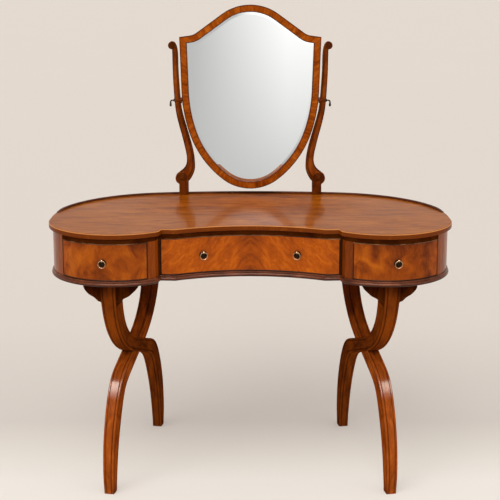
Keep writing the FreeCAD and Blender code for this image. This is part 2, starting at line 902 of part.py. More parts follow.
# Pivot of one side: the post bored for it, a boss against the post, and the thumbscrew outside
def make_pivot(post, edge_x, boss_x):
    window = box(0, far, -far, far, pivot_height - collar_radius, pivot_height + collar_radius)
    outer_x = post.common(window).BoundBox.XMax
    axis = Vector(0, post_y, pivot_height)
    boss = rod(pivot_boss_radius, axis + Vector(boss_x, 0, 0), axis + Vector(outer_x - overrun, 0, 0))
    bore = rod(pivot_radius + pivot_clearance, axis, axis + Vector(far, 0, 0))
    boss = boss.cut(post).cut(bore)
    post = post.cut(bore)
    collar_x = outer_x + collar_gap
    shank_start = axis + Vector(edge_x - pivot_engagement, 0, 0)
    collar_start = axis + Vector(collar_x, 0, 0)
    collar_end = collar_start + Vector(collar_thickness, 0, 0)
    elbow = collar_end + Vector(thumb_reach, 0, 0)
    drop_top = elbow - Vector(0, 0, thumb_drop - thumb_drop_length)
    drop_centre = elbow - Vector(0, 0, thumb_drop)
    shank = rod(pivot_radius, shank_start, collar_start)
    pieces = [
        rod(collar_radius, collar_start, collar_end),
        rod(thumb_neck_radius, collar_end, elbow),
        Part.makeSphere(thumb_neck_radius, elbow),
        rod(thumb_neck_radius, elbow, drop_top),
        Part.makeCone(thumb_drop_radius, thumb_neck_radius, thumb_drop_length, drop_centre),
        Part.makeSphere(thumb_drop_radius, drop_centre),
    ]
    return post, boss.Solids[0], shank.fuse(pieces)


def save_pair(name, right):
    save("left_" + name, mirrored(right))
    save("right_" + name, right)


# Supports
rear_leg, front_leg, brackets, screws, screw_holes, tenon_holes = make_support()
save_pair("rear_leg", on_right(rear_leg))
save_pair("front_leg", on_right(front_leg))
save_pair("leg_brackets", group([on_right(bracket) for bracket in brackets]))
right_screws = [on_right(screw) for screw in screws]
save("bracket_screws", group(right_screws + [mirrored(screw) for screw in right_screws]))

# Top and frieze
board_cuts = [on_right(hole) for hole in screw_holes + tenon_holes]
save("bottom_board", make_bottom_board(board_cuts + [mirrored(cut) for cut in board_cuts]))
save("table_top", make_top())
for name, piece in zip(("left", "back", "right"), make_galleries()):
    save(name + "_gallery", piece)
for name, piece in zip(("left", "bay", "right"), make_mouldings()):
    save(name + "_moulding", piece)
panels = make_panels()
for name, piece in zip(("left_end", "back", "right_end"), panels):
    save(name + "_panel", piece)
save_pair("stile", make_stile())
save_pair("partition", make_partition())
save("top_frame", make_top_frame(panels))

# Runners and stops
right_runners = [
    make_runner(side_box_x0, -1, runner_front_y, side_box_back_y),
    make_runner(side_box_x1, 1, runner_front_y, side_box_back_y),
    make_runner(bay_box_x1, 1, runner_front_y, bay_box_back_y),
]
save("drawer_runners", group(right_runners + [mirrored(runner) for runner in right_runners]))
side_middle_x = (side_drawer_inner_x + side_drawer_outer_x) / 2
right_stops = [make_stop(side_middle_x), make_stop(bay_pull_x)]
save("drawer_stops", group(right_stops + [mirrored(stop) for stop in right_stops]))

# Drawers and their pulls
mount, ring, bolt_hole = make_pull()
places = pull_places()
for name, (place, turn) in places.items():
    save(name + "_pull", placed(mount, place, turn))
    save(name + "_ring", placed(ring, place, turn))
holes = {name: placed(bolt_hole, place, turn) for name, (place, turn) in places.items()}
nuts = {}
for name, (place, turn) in places.items():
    hollow = bay_plate_hollow() if "bay" in name else 0
    nuts[name] = placed(make_nut(hollow), place, turn)
side_parts = make_drawer(
    side_drawer_inner_x,
    side_drawer_outer_x,
    side_box_x0,
    side_box_x1,
    side_box_back_y,
    [holes["right_drawer"]],
)
bay_parts = make_drawer(
    -bay_drawer_half_width,
    bay_drawer_half_width,
    -bay_box_x1,
    bay_box_x1,
    bay_box_back_y,
    [holes["bay_drawer_left"], holes["bay_drawer_right"]],
)
side_names = {"left_side": "inner_side", "right_side": "outer_side"}
for name, piece in side_parts.items():
    save_pair("drawer_" + side_names.get(name, name), piece)
for name, piece in bay_parts.items():
    save("bay_drawer_" + name, piece)
save("left_drawer_nut", nuts["left_drawer"])
save("right_drawer_nut", nuts["right_drawer"])
save("bay_drawer_nuts", group([nuts["bay_drawer_left"], nuts["bay_drawer_right"]]))

# Mirror and its posts
frame, glass, board, plate, edge_x, boss_x = make_mirror()
post, boss, thumbscrew = make_pivot(make_post(), edge_x, boss_x)
save_pair("mirror_post", post)
save_pair("thumbscrew", thumbscrew)
save("pivot_bosses", group([mirrored(boss), boss]))
save("pivot_plates", leaning(group([mirrored(plate), plate])))
save("mirror_frame", leaning(frame))
save("mirror_glass", leaning(glass))
save("mirror_backboard", leaning(board))
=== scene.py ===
import math

import bmesh
import bpy
import numpy as np
from mathutils import Matrix, Vector


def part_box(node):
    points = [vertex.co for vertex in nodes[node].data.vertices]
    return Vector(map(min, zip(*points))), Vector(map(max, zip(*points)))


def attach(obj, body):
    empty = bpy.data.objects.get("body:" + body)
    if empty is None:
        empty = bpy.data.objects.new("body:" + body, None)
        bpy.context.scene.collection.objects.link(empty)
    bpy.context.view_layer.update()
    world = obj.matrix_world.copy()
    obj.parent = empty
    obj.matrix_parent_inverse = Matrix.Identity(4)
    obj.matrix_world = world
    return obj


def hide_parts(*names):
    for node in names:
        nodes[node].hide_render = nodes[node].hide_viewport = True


# Kidney-shaped dressing table with a shield mirror: the looks, built around the CAD parts.
# Sizes are in millimetres and become metres where a mesh is made. X runs along the table,
# Y from front to back, Z up from the floor. In the finishes, heights and reaches are in metres,
# as Object coordinates are, and the sizes of grain and spots are in millimetres.

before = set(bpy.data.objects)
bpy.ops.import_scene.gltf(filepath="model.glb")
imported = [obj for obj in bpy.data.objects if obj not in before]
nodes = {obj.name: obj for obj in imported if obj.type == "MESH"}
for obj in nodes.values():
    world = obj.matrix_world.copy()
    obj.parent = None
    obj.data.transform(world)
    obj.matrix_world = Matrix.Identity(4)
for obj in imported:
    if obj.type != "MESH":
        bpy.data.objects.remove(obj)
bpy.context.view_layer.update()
mm = 0.001
up = Vector((0, 0, 1))
print("frame loaded:", len(nodes), "nodes")


# Node graphs

# A socket that takes part in expressions: each operator adds a Math node to its graph
class Wire:
    def __init__(self, graph, socket):
        self.graph = graph
        self.socket = socket

    def maths(self, operation, first, second):
        return self.graph.node("ShaderNodeMath", {"operation": operation}, {0: first, 1: second})

    def __add__(self, other):
        return self.maths("ADD", self, other)

    def __radd__(self, other):
        return self.maths("ADD", other, self)

    def __sub__(self, other):
        return self.maths("SUBTRACT", self, other)

    def __rsub__(self, other):
        return self.maths("SUBTRACT", other, self)

    def __mul__(self, other):
        return self.maths("MULTIPLY", self, other)

    def __rmul__(self, other):
        return self.maths("MULTIPLY", other, self)

    def __lt__(self, other):
        return self.maths("LESS_THAN", self, other)

    def __gt__(self, other):
        return self.maths("GREATER_THAN", self, other)

    def __abs__(self):
        return self.graph.node("ShaderNodeMath", {"operation": "ABSOLUTE"}, {0: self})


class Graph:
    def __init__(self, tree):
        self.tree = tree

    def node(self, kind, settings=None, inputs=None, output=0):
        made = self.tree.nodes.new(kind)
        for key, value in (settings or {}).items():
            if key == "stops":
                fillRamp(made.color_ramp, value)
            else:
                setattr(made, key, value)
        for key, value in (inputs or {}).items():
            if isinstance(value, Wire):
                self.tree.links.new(value.socket, made.inputs[key])
            else:
                made.inputs[key].default_value = value
        return Wire(self, made.outputs[output]) if made.outputs else None

    def output(self, wire, name):
        return Wire(self, wire.socket.node.outputs[name])

    def vector(self, operation, first, second=None, scale=None):
        inputs = {0: first}
        if second is not None:
            inputs[1] = second
        if scale is not None:
            inputs[3] = scale
        return self.node("ShaderNodeVectorMath", {"operation": operation}, inputs)

    # a Mix node takes colours at its sockets 6 and 7, and gives the mixed colour as its output 2
    def mix(self, factor, first, second, blend="MIX"):
        settings = {"data_type": "RGBA", "blend_type": blend}
        inputs = {0: factor, 6: opaque(first), 7: opaque(second)}
        return self.node("ShaderNodeMix", settings, inputs, 2)

    def axes(self, place):
        parts = self.node("ShaderNodeSeparateXYZ", None, {0: place})
        return [self.output(parts, name) for name in "XYZ"]

    def joined(self, x, y, z):
        return self.node("ShaderNodeCombineXYZ", None, {0: x, 1: y, 2: z})


def opaque(colour):
    return colour if isinstance(colour, Wire) else (*colour, 1)


def fillRamp(ramp, stops):
    while len(ramp.elements) < len(stops):
        ramp.elements.new(1)
    for element, (position, colour) in zip(ramp.elements, stops):
        element.position = position
        element.color = opaque(colour)


# A material under construction
class Sheet(Graph):
    def __init__(self, name):
        self.material = bpy.data.materials.new(name)
        self.material.use_nodes = True
        super().__init__(self.material.node_tree)
        self.tree.nodes.clear()

    def place(self):
        return self.node("ShaderNodeTexCoord", output="Object")

    def millimetres(self, place=None):
        return self.vector("SCALE", place or self.place(), scale=1 / mm)

    def noise(self, place, size, detail=3, roughness=0.5, distortion=0, output=0):
        inputs = {
            "Vector": place,
            "Scale": 1 / size,
            "Detail": detail,
            "Roughness": roughness,
            "Distortion": distortion,
        }
        return self.node("ShaderNodeTexNoise", {"noise_dimensions": "3D"}, inputs, output)

    def spread(self, value, low, high):
        return self.node("ShaderNodeMapRange", None, {0: value, 1: low, 2: high})

    def stored(self, name, output="Fac"):
        return self.node("ShaderNodeAttribute", {"attribute_name": name}, None, output)

    def bump(self, height, strength, distance):
        inputs = {"Strength": strength, "Distance": distance, "Height": height}
        return self.node("ShaderNodeBump", None, inputs)

    def surface(self, inputs):
        shader = self.node("ShaderNodeBsdfPrincipled", None, inputs)
        self.node("ShaderNodeOutputMaterial", None, {"Surface": shader})
        return self.material


# Grain directions: millimetre coordinates whose Z runs along the fibres

grains = {
    "slope": 0.16,  # how far the lengthwise grain strays towards the back
    "bandingHeight": 0.7585,  # below it the top's edge is banded with upright grain
    "flameLean": (0.66, 0.75),  # cosine and sine of the flame's lean, scaled together
    "frameMiddle": 1.05,  # height where the spokes of the mirror's banding meet
    "frameSpread": 0.22,  # metres across the grain for each radian round the frame
}


def grainUp(sheet, place):
    return sheet.millimetres(place)


def grainAlong(sheet, place):
    x, y, z = sheet.axes(place)
    return sheet.millimetres(sheet.joined(y, z, x + grains["slope"] * y))


def grainOfLeg(sheet, place):
    return sheet.stored("fibre", "Vector")


# The top's veneer runs along it, and the banding on its edge runs up. A Mix node takes vectors at
# its sockets 4 and 5, and gives the mixed vector as its output 1.
def grainOfTop(sheet, place):
    x, y, z = sheet.axes(place)
    inputs = {0: z < grains["bandingHeight"], 4: grainAlong(sheet, place), 5: grainUp(sheet, place)}
    return sheet.node("ShaderNodeMix", {"data_type": "VECTOR"}, inputs, 1)


# Flame figure that leans out from the middle of the bay
def grainOfBay(sheet, place):
    x, y, z = sheet.axes(place)
    side = abs(x)
    cosine, sine = grains["flameLean"]
    return sheet.millimetres(sheet.joined(side * cosine + z * sine, y, z * cosine - side * sine))


# Banding across the mirror's frame: the fibres run out from its middle
def grainOfMirror(sheet, place):
    x, y, z = sheet.axes(place)
    height = z - grains["frameMiddle"]
    angle = sheet.node("ShaderNodeMath", {"operation": "ARCTAN2"}, {0: height, 1: x})
    flat = sheet.joined(x, 0, height)
    radius = sheet.node("ShaderNodeVectorMath", {"operation": "LENGTH"}, {0: flat}, "Value")
    return sheet.millimetres(sheet.joined(angle * grains["frameSpread"], y, radius))


# Finishes

woodBasics = {
    # slow bends of the grain, in millimetres
    "drift": 22, "driftSize": 90, "driftDetail": (2, 0.5),
    # each layer has a depth in the tone, a size across the grain, a length as a multiple of it,
    # and the detail and roughness of its noise
    "figureDepth": 0.9, "figureSize": 26, "figureLength": 3.2, "figureDetail": (3, 0.55),
    "figureTwist": 0.8,
    "streakDepth": 0.5, "streakSize": 1.6, "streakLength": 34, "streakDetail": (5, 0.6),
    "poreDepth": 0.35, "poreSize": 0.55, "poreLength": 16, "poreDetail": (2, 0.5),
    "poreEdge": (0.6, 0.72), "poreColour": (0.03, 0.008, 0.002),
    "ageDepth": 0.3, "ageSize": 140, "ageDetail": (4, 0.6),
    "roughness": 0.33, "roughnessSwing": 0.16, "streakRoughness": 0.1,
    "bump": 0.14, "bumpDistance": 0.0003, "streakHeight": 0.6, "poreHeight": 0.5,
    "coat": 0.28, "coatIndex": 1.28, "coatRoughness": 0.12, "specular": 0.04,
    # stored attributes that the finish reads: dark patina and painted shade in grooves, and painted shade
    # on the flat sides of a leg
    "wear": (), "grooveDepth": 0.7, "grooveColour": (0.01, 0.003, 0.001), "sideShade": 0.05,
    # patches with their ramps, change of tone and change of coat
    "patches": (),
    # centre of the bay's flame: its depth, and where its square distance from the middle ends and begins
    "plume": 0, "plumeEdge": 0.0018, "plumeCore": 0.0001, "plumeLevel": 0.4,
    # where the dark, middle and light tones lie
    "stops": (0.2, 0.5, 0.8),
}


def woodPattern(sheet, fibre, look):
    swirl = sheet.noise(fibre, look["driftSize"], *look["driftDetail"], output="Color")
    swing = sheet.vector("SCALE", sheet.vector("SUBTRACT", swirl, (0.5, 0.5, 0.5)), scale=look["drift"])
    bent = sheet.vector("ADD", fibre, swing)

    def layer(name, twist=0):
        drawnOut = sheet.vector("MULTIPLY", bent, (1, 1, 1 / look[name + "Length"]))
        return sheet.noise(drawnOut, look[name + "Size"], *look[name + "Detail"], twist)

    pore = sheet.spread(layer("pore"), *look["poreEdge"])
    age = sheet.noise(fibre, look["ageSize"], *look["ageDetail"])
    return layer("figure", look["figureTwist"]), layer("streak"), pore, age


# A product of ramps over X, Y, Z, the distance from the middle or the way along a leg
def patchMask(sheet, place, fibre, ramps):
    mask = None
    for axis, start, end in ramps:
        if axis == "along":
            value = sheet.axes(fibre)[2]
        elif axis == "side":
            value = abs(sheet.axes(place)[0])
        else:
            value = sheet.axes(place)["XYZ".index(axis)]
        ramp = sheet.spread(value, start, end)
        mask = mask * ramp if mask else ramp
    return mask


# A wood may also have a tone below edgeHeight or above rimHeight (on the drawer beads a painted highlight
# along their tops), a painted highlight on the arris between edgeHeight and arrisHeight, and
# paintedShadeInside: how far from the middle painted shade darkens it, and how dark
def polishedWood(name, grain, **changes):
    look = {**woodBasics, **changes}
    sheet = Sheet(name)
    place = sheet.place()
    x, y, z = sheet.axes(place)
    fibre = grain(sheet, place)
    figure, streak, pore, age = woodPattern(sheet, fibre, look)
    tone = 0.5 + look["figureDepth"] * (figure - 0.5) + look["streakDepth"] * (streak - 0.5)
    tone = tone + look["ageDepth"] * (age - 0.5)
    coat = look["coat"]
    if "edgeHeight" in look:
        tone = tone + look["edgeTone"] * (z < look["edgeHeight"])
    if "rimHeight" in look:
        tone = tone + look["rimTone"] * (z > look["rimHeight"])
    if look["plume"]:
        middle = sheet.spread(x * x, look["plumeEdge"], look["plumeCore"])
        tone = tone - look["plume"] * middle * (look["plumeLevel"] + age)
    for ramps, toneChange, coatChange in look["patches"]:
        mask = patchMask(sheet, place, fibre, ramps)
        tone = tone + toneChange * mask
        coat = coat + coatChange * mask if coatChange else coat
    if "flatSide" in look["wear"]:
        flatSide = sheet.stored("flatSide")
        tone = tone - look["sideShade"] * flatSide
        coat = coat * (1 - flatSide)
    stops = list(zip(look["stops"], look["tones"]))
    colour = sheet.node("ShaderNodeValToRGB", {"stops": stops}, {0: tone})
    colour = sheet.mix(pore * look["poreDepth"], colour, look["poreColour"])
    # painted highlight along the eased arris
    if "arrisHeight" in look:
        arrisHighlight = (z > look["edgeHeight"]) * (z < look["arrisHeight"])
        colour = sheet.mix(look["arrisHighlightDepth"] * arrisHighlight, colour, look["arrisHighlightColour"])
    # dark patina and painted shade in the grooves
    if "groove" in look["wear"]:
        colour = sheet.mix(sheet.stored("groove") * look["grooveDepth"], colour, look["grooveColour"])
    # painted shade within a reach from the middle: the stile's return into the notch
    if "paintedShadeInside" in look:
        reach, depth = look["paintedShadeInside"]
        colour = sheet.mix(depth * (abs(x) < reach), colour, look["grooveColour"])
    swing = look["roughnessSwing"] * (age - 0.5) + look["streakRoughness"] * (streak - 0.5)
    relief = streak * look["streakHeight"] - pore * look["poreHeight"]
    inputs = {
        "Base Color": colour,
        "Roughness": look["roughness"] + swing,
        "Specular IOR Level": look["specular"],
        "Coat Weight": coat,
        "Coat Roughness": look["coatRoughness"],
        "Coat IOR": look["coatIndex"],
        "Normal": sheet.bump(relief, look["bump"], look["bumpDistance"]),
    }
    return sheet.surface(inputs)


metalBasics = {
    "colour": (0.42, 0.27, 0.09),
    "tarnish": (0.1, 0.055, 0.02),
    "tarnishSize": 3,
    "tarnishDetail": (4, 0.65),
    "tarnishEdge": (0.38, 0.66),
    "roughness": 0.34,
    "tarnishRoughness": 0.2,
    "fineSize": 0.6,
    "fineRoughness": 0.1,
    "bump": 0.12,
    "bumpDistance": 0.0002,
}


def agedMetal(name, **changes):
    look = {**metalBasics, **changes}
    sheet = Sheet(name)
    place = sheet.millimetres()
    blotches = sheet.noise(place, look["tarnishSize"], *look["tarnishDetail"])
    patches = sheet.spread(blotches, *look["tarnishEdge"])
    fine = sheet.noise(place, look["fineSize"])
    wear = look["tarnishRoughness"] * patches + look["fineRoughness"] * (fine - 0.5)
    inputs = {
        "Base Color": sheet.mix(patches, look["colour"], look["tarnish"]),
        "Metallic": 1.0,
        "Roughness": look["roughness"] + wear,
        "Normal": sheet.bump(fine, look["bump"], look["bumpDistance"]),
    }
    return sheet.surface(inputs)


silvering = {
    "colour": (0.93, 0.94, 0.94),
    "speckColour": (0.3, 0.29, 0.27),
    "speckSize": 2.2,
    "speckDetail": 2,
    "speckEdge": (0.74, 0.8),
    "speckDepth": 0.4,
    "roughness": 0.02,
    "haze": 0.04,
    "hazeSize": 120,
}


def silveredGlass(name):
    sheet = Sheet(name)
    place = sheet.millimetres()
    haze = sheet.noise(place, silvering["hazeSize"])
    spots = sheet.noise(place, silvering["speckSize"], silvering["speckDetail"])
    worn = silvering["speckDepth"] * sheet.spread(spots, *silvering["speckEdge"])
    inputs = {
        "Base Color": sheet.mix(worn, silvering["colour"], silvering["speckColour"]),
        "Metallic": 1.0,
        "Roughness": silvering["roughness"] + silvering["haze"] * haze,
    }
    return sheet.surface(inputs)


def shaded(tones, share):
    return [tuple(part * share for part in colour) for colour in tones]


# Dark, middle and light colour of each wood
darkTones = [(0.024, 0.006, 0.002), (0.073, 0.0185, 0.007), (0.15, 0.043, 0.016)]
legTones = [(0.075, 0.013, 0.002), (0.24, 0.048, 0.005), (0.42, 0.1, 0.012)]
# a shaded copy of the leg's wood, for the legs whose feet stand at the back
shadedLegTones = [(0.0465, 0.009, 0.0016), (0.147, 0.031, 0.0045), (0.26, 0.053, 0.0045)]
paleTones = [(0.28, 0.125, 0.044), (0.44, 0.225, 0.085), (0.57, 0.32, 0.135)]
carcassTones = [(0.11, 0.04, 0.013), (0.2, 0.082, 0.028), (0.29, 0.13, 0.05)]
topTones = [(0.16, 0.03, 0.001), (0.31, 0.078, 0.004), (0.46, 0.14, 0.012)]
crossTones = [(0.14, 0.022, 0.0005), (0.32, 0.062, 0.003), (0.5, 0.125, 0.01)]
beadTones = [(0.012, 0.004, 0.002), (0.05, 0.016, 0.006), (0.5, 0.24, 0.1)]
friezeTones = [(0.13, 0.02, 0.001), (0.36, 0.068, 0.002), (0.58, 0.14, 0.006)]

frieze = {"stops": (0.15, 0.5, 0.85)}
cloudy = {
    "figureSize": 52, "figureLength": 1.6, "figureTwist": 1.3, "figureDepth": 1.25, "drift": 46,
    "driftSize": 80, "streakSize": 2.4, "streakLength": 9, "streakDepth": 0.4,
}
straight = {
    "drift": 7, "driftSize": 120, "figureSize": 14, "figureLength": 16, "figureTwist": 0.2,
    "figureDepth": 0.5, "streakDepth": 0.7, "coat": 0.0,
}
matt = {"coat": 0.0, "specular": 0.0}
solid = {"specular": 0.0, "ageDepth": 0.5}
carvedLeg = {**solid, "wear": ("groove", "flatSide"), "grooveDepth": 0.5}

# Patches: ramps as (axis, start, end), change of tone, change of coat. A ramp along a leg is in
# millimetres from its head.
# Painted shade of the mirror on the middle of the top's back: darker, and with less polish so that it
# reflects less
paintedMirrorShade = ((("side", 0.38, 0.15), ("Y", -0.1, 0.1)), -0.12, -0.323)
# Painted shadow of the top's overhang across the head of the frieze
paintedOverhangShadow = ((("Z", 0.706, 0.733),), -0.16, 0)
# More polish on the knee of the front-footed legs, so that the glint lamp shows there: a painted highlight
paintedKneeHighlight = ((("Z", 0.335, 0.305), ("Z", 0.262, 0.282)), 0, 0.94)


def darkTowards(axis, start, end, depth):
    return (((axis, start, end),), -depth, 0)


woods = {
    "top_veneer": (grainOfTop, {
        "tones": topTones, "figureSize": 30, "figureDepth": 0.85, "figureLength": 4, "drift": 26,
        "streakDepth": 0.6, "coat": 0.34, "specular": 0.012, "patches": [paintedMirrorShade],
        "edgeHeight": 0.7578, "edgeTone": -0.38,
        # painted highlight along the eased front arris
        "arrisHeight": 0.7597, "arrisHighlightDepth": 0.6, "arrisHighlightColour": (0.75, 0.32, 0.1),
    }),
    "frieze_veneer": (grainUp, {
        **frieze, **cloudy, "tones": shaded(friezeTones, 0.84),
        "patches": [paintedOverhangShadow, darkTowards("X", 0.36, 0.48, 0.16)],
    }),
    "bay_veneer": (grainOfBay, {
        **frieze, "tones": shaded(friezeTones, 1.17), "figureSize": 16, "figureLength": 2.6,
        "figureTwist": 1.1, "figureDepth": 0.75, "drift": 30, "streakDepth": 0.4, "plume": 0.22,
    }),
    "stile_veneer": (grainUp, {
        **frieze, "tones": shaded(friezeTones, 0.69), "figureDepth": 0.6,
        # painted shade on the stile's return into the notch
        "patches": [darkTowards("X", 0.06, 0.18, 0.16)], "paintedShadeInside": (0.2535, 0.8),
    }),
    "end_veneer": (grainUp, {**frieze, "tones": shaded(friezeTones, 0.66), "coat": 0.6}),
    # Painted shade on the moulding's underside: darker below edgeHeight
    "dark_moulding": (grainAlong, {
        "tones": shaded(darkTones, 1.7), "roughness": 0.3, "coat": 0.4, "coatIndex": 1.4,
        "edgeHeight": 0.6166, "edgeTone": -0.38,
    }),
    "gallery_wood": (grainAlong, {"tones": shaded(darkTones, 1.15), "coat": 0.06}),
    "rail_wood": (grainAlong, {**matt, "tones": shaded(legTones, 0.24), "roughness": 0.45}),
    "bead_wood": (grainAlong, {
        "stops": (0.2, 0.6, 1), "tones": beadTones, "figureDepth": 0.6, "ageDepth": 0.6, "coat": 0.3,
        # painted highlight along the beads' tops, above rimHeight
        "rimHeight": 0.7284, "rimTone": 0.15,
    }),
    # Front-footed legs: painted shade towards their heads at the back and under the moulding, and the
    # painted highlight at the knee
    "leg_wood": (grainOfLeg, {
        **carvedLeg, "tones": shaded(legTones, 1.25), "coat": 0.06, "coatIndex": 1.6, "coatRoughness": 0.22,
        "patches": [paintedKneeHighlight, darkTowards("along", 290, 150, 0.34), darkTowards("Z", 0.56, 0.605, 0.25)],
    }),
    # Rear-footed legs: painted shade, lifted towards their heads at the front and darker under the moulding
    "rear_leg_wood": (grainOfLeg, {
        **carvedLeg, "tones": shadedLegTones, "coat": 0.0,
        "patches": [darkTowards("along", 290, 150, -0.15), darkTowards("Z", 0.56, 0.605, 0.42)],
    }),
    # Brackets: painted shade under the moulding, darker towards the top
    "ear_wood": (grainUp, {
        **matt, "tones": shaded(legTones, 0.36), "roughness": 0.42,
        "patches": [darkTowards("Z", 0.55, 0.6, 0.3)],
    }),
    # dark patina and painted shade from the posts' groove attribute
    "post_wood": (grainUp, {**solid, "tones": shaded(legTones, 0.87), "coat": 0.06, "wear": ("groove",)}),
    "carved_wood": (grainUp, {**solid, "tones": shaded(legTones, 0.5), "coat": 0.26}),
    "frame_edge": (grainUp, {"tones": shaded(legTones, 0.4)}),
    "banded_wood": (grainOfMirror, {
        "tones": crossTones, "drift": 9, "driftSize": 40, "figureSize": 12, "figureLength": 4,
        "figureDepth": 1.1, "streakSize": 1.3, "streakDepth": 0.4, "coat": 0.0, "specular": 0.01,
    }),
    "carcass_wood": (grainAlong, {**straight, "tones": carcassTones, "roughness": 0.62, "specular": 0.12}),
    "lining_wood": (grainAlong, {**straight, "tones": paleTones, "roughness": 0.6, "specular": 0.15}),
}
metals = {
    "brass": {"colour": (0.62, 0.43, 0.26), "tarnish": (0.2, 0.11, 0.05), "roughness": 0.26},
    "plate_brass": {"colour": (0.035, 0.02, 0.011), "tarnish": (0.014, 0.008, 0.005)},
    "screw_steel": {"colour": (0.3, 0.29, 0.27), "tarnish": (0.1, 0.09, 0.08)},
    "dark_metal": {"colour": (0.05, 0.034, 0.02), "tarnish": (0.016, 0.011, 0.007)},
}
finishes = {name: polishedWood(name, grain, **changes) for name, (grain, changes) in woods.items()}
finishes.update({name: agedMetal(name, **changes) for name, changes in metals.items()})
finishes["mirror_glass"] = silveredGlass("mirror_glass")
print("finishes made:", len(finishes))

# CAD nodes whose finish differs from their slot's
ownFinishes = {
    "bay_drawer_front": "bay_veneer",
    "left_stile": "stile_veneer",
    "right_stile": "stile_veneer",
    "left_end_panel": "end_veneer",
    "right_end_panel": "end_veneer",
    "top_frame": "rail_wood",
    "mirror_frame": "banded_wood",
    "pivot_bosses": "carved_wood",
    "left_leg_brackets": "ear_wood",
    "right_leg_brackets": "ear_wood",
}
for name, node in nodes.items():
    for holder in node.material_slots:
        recordSlot = holder.material.name.split(".")[0]
        holder.material = finishes[ownFinishes.get(name, recordSlot)]


# Meshes

mergeDistance = 0.004
smoothUpTo = 38  # degrees between faces


# Closed shells gathered into one mesh
class Shape:
    def __init__(self):
        self.points = []
        self.faces = []
        self.grooves = []
        self.finishes = []

    def add(self, points, faces, matrix=Matrix.Identity(4), grooves=None, finish=0):
        first = len(self.points)
        self.points += [matrix @ Vector(point) for point in points]
        self.faces += [tuple(first + index for index in face) for face in faces]
        self.grooves += grooves or [0.0] * len(points)
        self.finishes += [finish] * len(faces)
        return self

    def mirrored(self):
        other = Shape()
        other.points = [Vector((-point.x, point.y, point.z)) for point in self.points]
        other.faces = list(self.faces)
        other.grooves = list(self.grooves)
        other.finishes = list(self.finishes)
        return other

    def piece(self, name, *materials):
        mesh = bpy.data.meshes.new(name)
        mesh.from_pydata([point * mm for point in self.points], [], self.faces)
        for material in materials:
            mesh.materials.append(material)
        mesh.polygons.foreach_set("material_index", self.finishes)
        if any(self.grooves):
            mesh.attributes.new("groove", "FLOAT", "POINT").data.foreach_set("value", self.grooves)
        return closedPiece(name, mesh, smoothUpTo)


def linked(name, mesh):
    piece = bpy.data.objects.new(name, mesh)
    bpy.context.scene.collection.objects.link(piece)
    return piece


def closeMesh(mesh, sharp):
    work = bmesh.new()
    work.from_mesh(mesh)
    bmesh.ops.remove_doubles(work, verts=work.verts, dist=mergeDistance * mm)
    bmesh.ops.recalc_face_normals(work, faces=work.faces)
    work.to_mesh(mesh)
    work.free()
    mesh.shade_smooth()
    mesh.set_sharp_from_angle(angle=math.radians(sharp))


def settle(piece, body, slot, *replaced):
    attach(piece, body)
    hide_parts(*replaced)


# Faces between rings of as many points each, closed at both ends or round on themselves
def lofted(rings, endless=False):
    count = len(rings[0])
    points = [point for ring in rings for point in ring]
    faces = []
    for row in range(len(rings) if endless else len(rings) - 1):
        low, high = row * count, (row + 1) % len(rings) * count
        for column in range(count):
            beside = (column + 1) % count
            faces.append((low + column, low + beside, high + beside, high + column))
    if not endless:
        faces += [tuple(range(count)), tuple(range(len(points) - count, len(points)))]
    return points, faces


def roundAngles(steps):
    return [2 * math.pi * step / steps for step in range(steps)]


# A profile of radius and place along Y, turned about Y. It starts and ends on the axis.
def turned(profile, steps):
    rings = []
    for radius, along in profile:
        rings.append([(radius * math.cos(a), along, radius * math.sin(a)) for a in roundAngles(steps)])
    return lofted(rings)


# Smooth curve through points, with chosen or free directions at its ends
class Curve:
    def __init__(self, points, start=None, end=None):
        self.points = np.array(points, float)
        self.gaps = np.linalg.norm(np.diff(self.points, axis=0), axis=1)
        count = len(points)
        system = np.zeros((count, count))
        right = np.zeros((count, 3))
        slopes = np.diff(self.points, axis=0) / self.gaps[:, None]
        for i in range(1, count - 1):
            before, after = self.gaps[i - 1], self.gaps[i]
            system[i, i - 1 : i + 2] = (1 / before, 2 / before + 2 / after, 1 / after)
            right[i] = 3 * (slopes[i - 1] / before + slopes[i] / after)
        system[0, :2] = (1, 0) if start else (2, 1)
        right[0] = start if start else 3 * slopes[0]
        system[-1, -2:] = (0, 1) if end else (1, 2)
        right[-1] = end if end else 3 * slopes[-1]
        self.tangents = np.linalg.solve(system, right)

    def at(self, station):
        index = min(int(station), len(self.gaps) - 1)
        share = station - index
        gap = self.gaps[index]
        p0, p1 = self.points[index], self.points[index + 1]
        m0, m1 = self.tangents[index] * gap, self.tangents[index + 1] * gap
        a, b = 2 * share**3 - 3 * share**2 + 1, share**3 - 2 * share**2 + share
        return Vector(a * p0 + b * m0 + (1 - a) * p1 + (share**3 - share**2) * m1)

    def direction(self, station):
        return Vector(self.tangents[int(station)]).normalized()

    def stations(self, steps):
        return [len(self.gaps) * step / steps for step in range(steps + 1)]


# Plan of the top, inset by a distance, from the bay's middle round the right to the back

plan = {
    "halfLength": 570,
    "halfDepth": 297,
    "lobeRadius": 197,
    "sideStraight": 40,
    "backRadius": 1904,
    "notchOuterX": 250,
    "notchInnerX": 243,
    "bayCornerX": 205,
    "flatSetback": 69,
    "bayCornerSetback": 67,
    "baySetback": 116,
    "overhang": 11,
    # steps of the arcs, from the bay's middle to the back's
    "baySteps": 30,
    "lobeSteps": 60,
    "sideSteps": 60,
    "backSteps": 40,
}
lobeCentre = Vector((plan["halfLength"] - plan["lobeRadius"], plan["lobeRadius"] - plan["halfDepth"]))
baySagitta = plan["baySetback"] - plan["bayCornerSetback"]
bayRadius = (plan["bayCornerX"] ** 2 + baySagitta**2) / (2 * baySagitta)
bayCentre = Vector((0, plan["baySetback"] - plan["halfDepth"] - bayRadius))
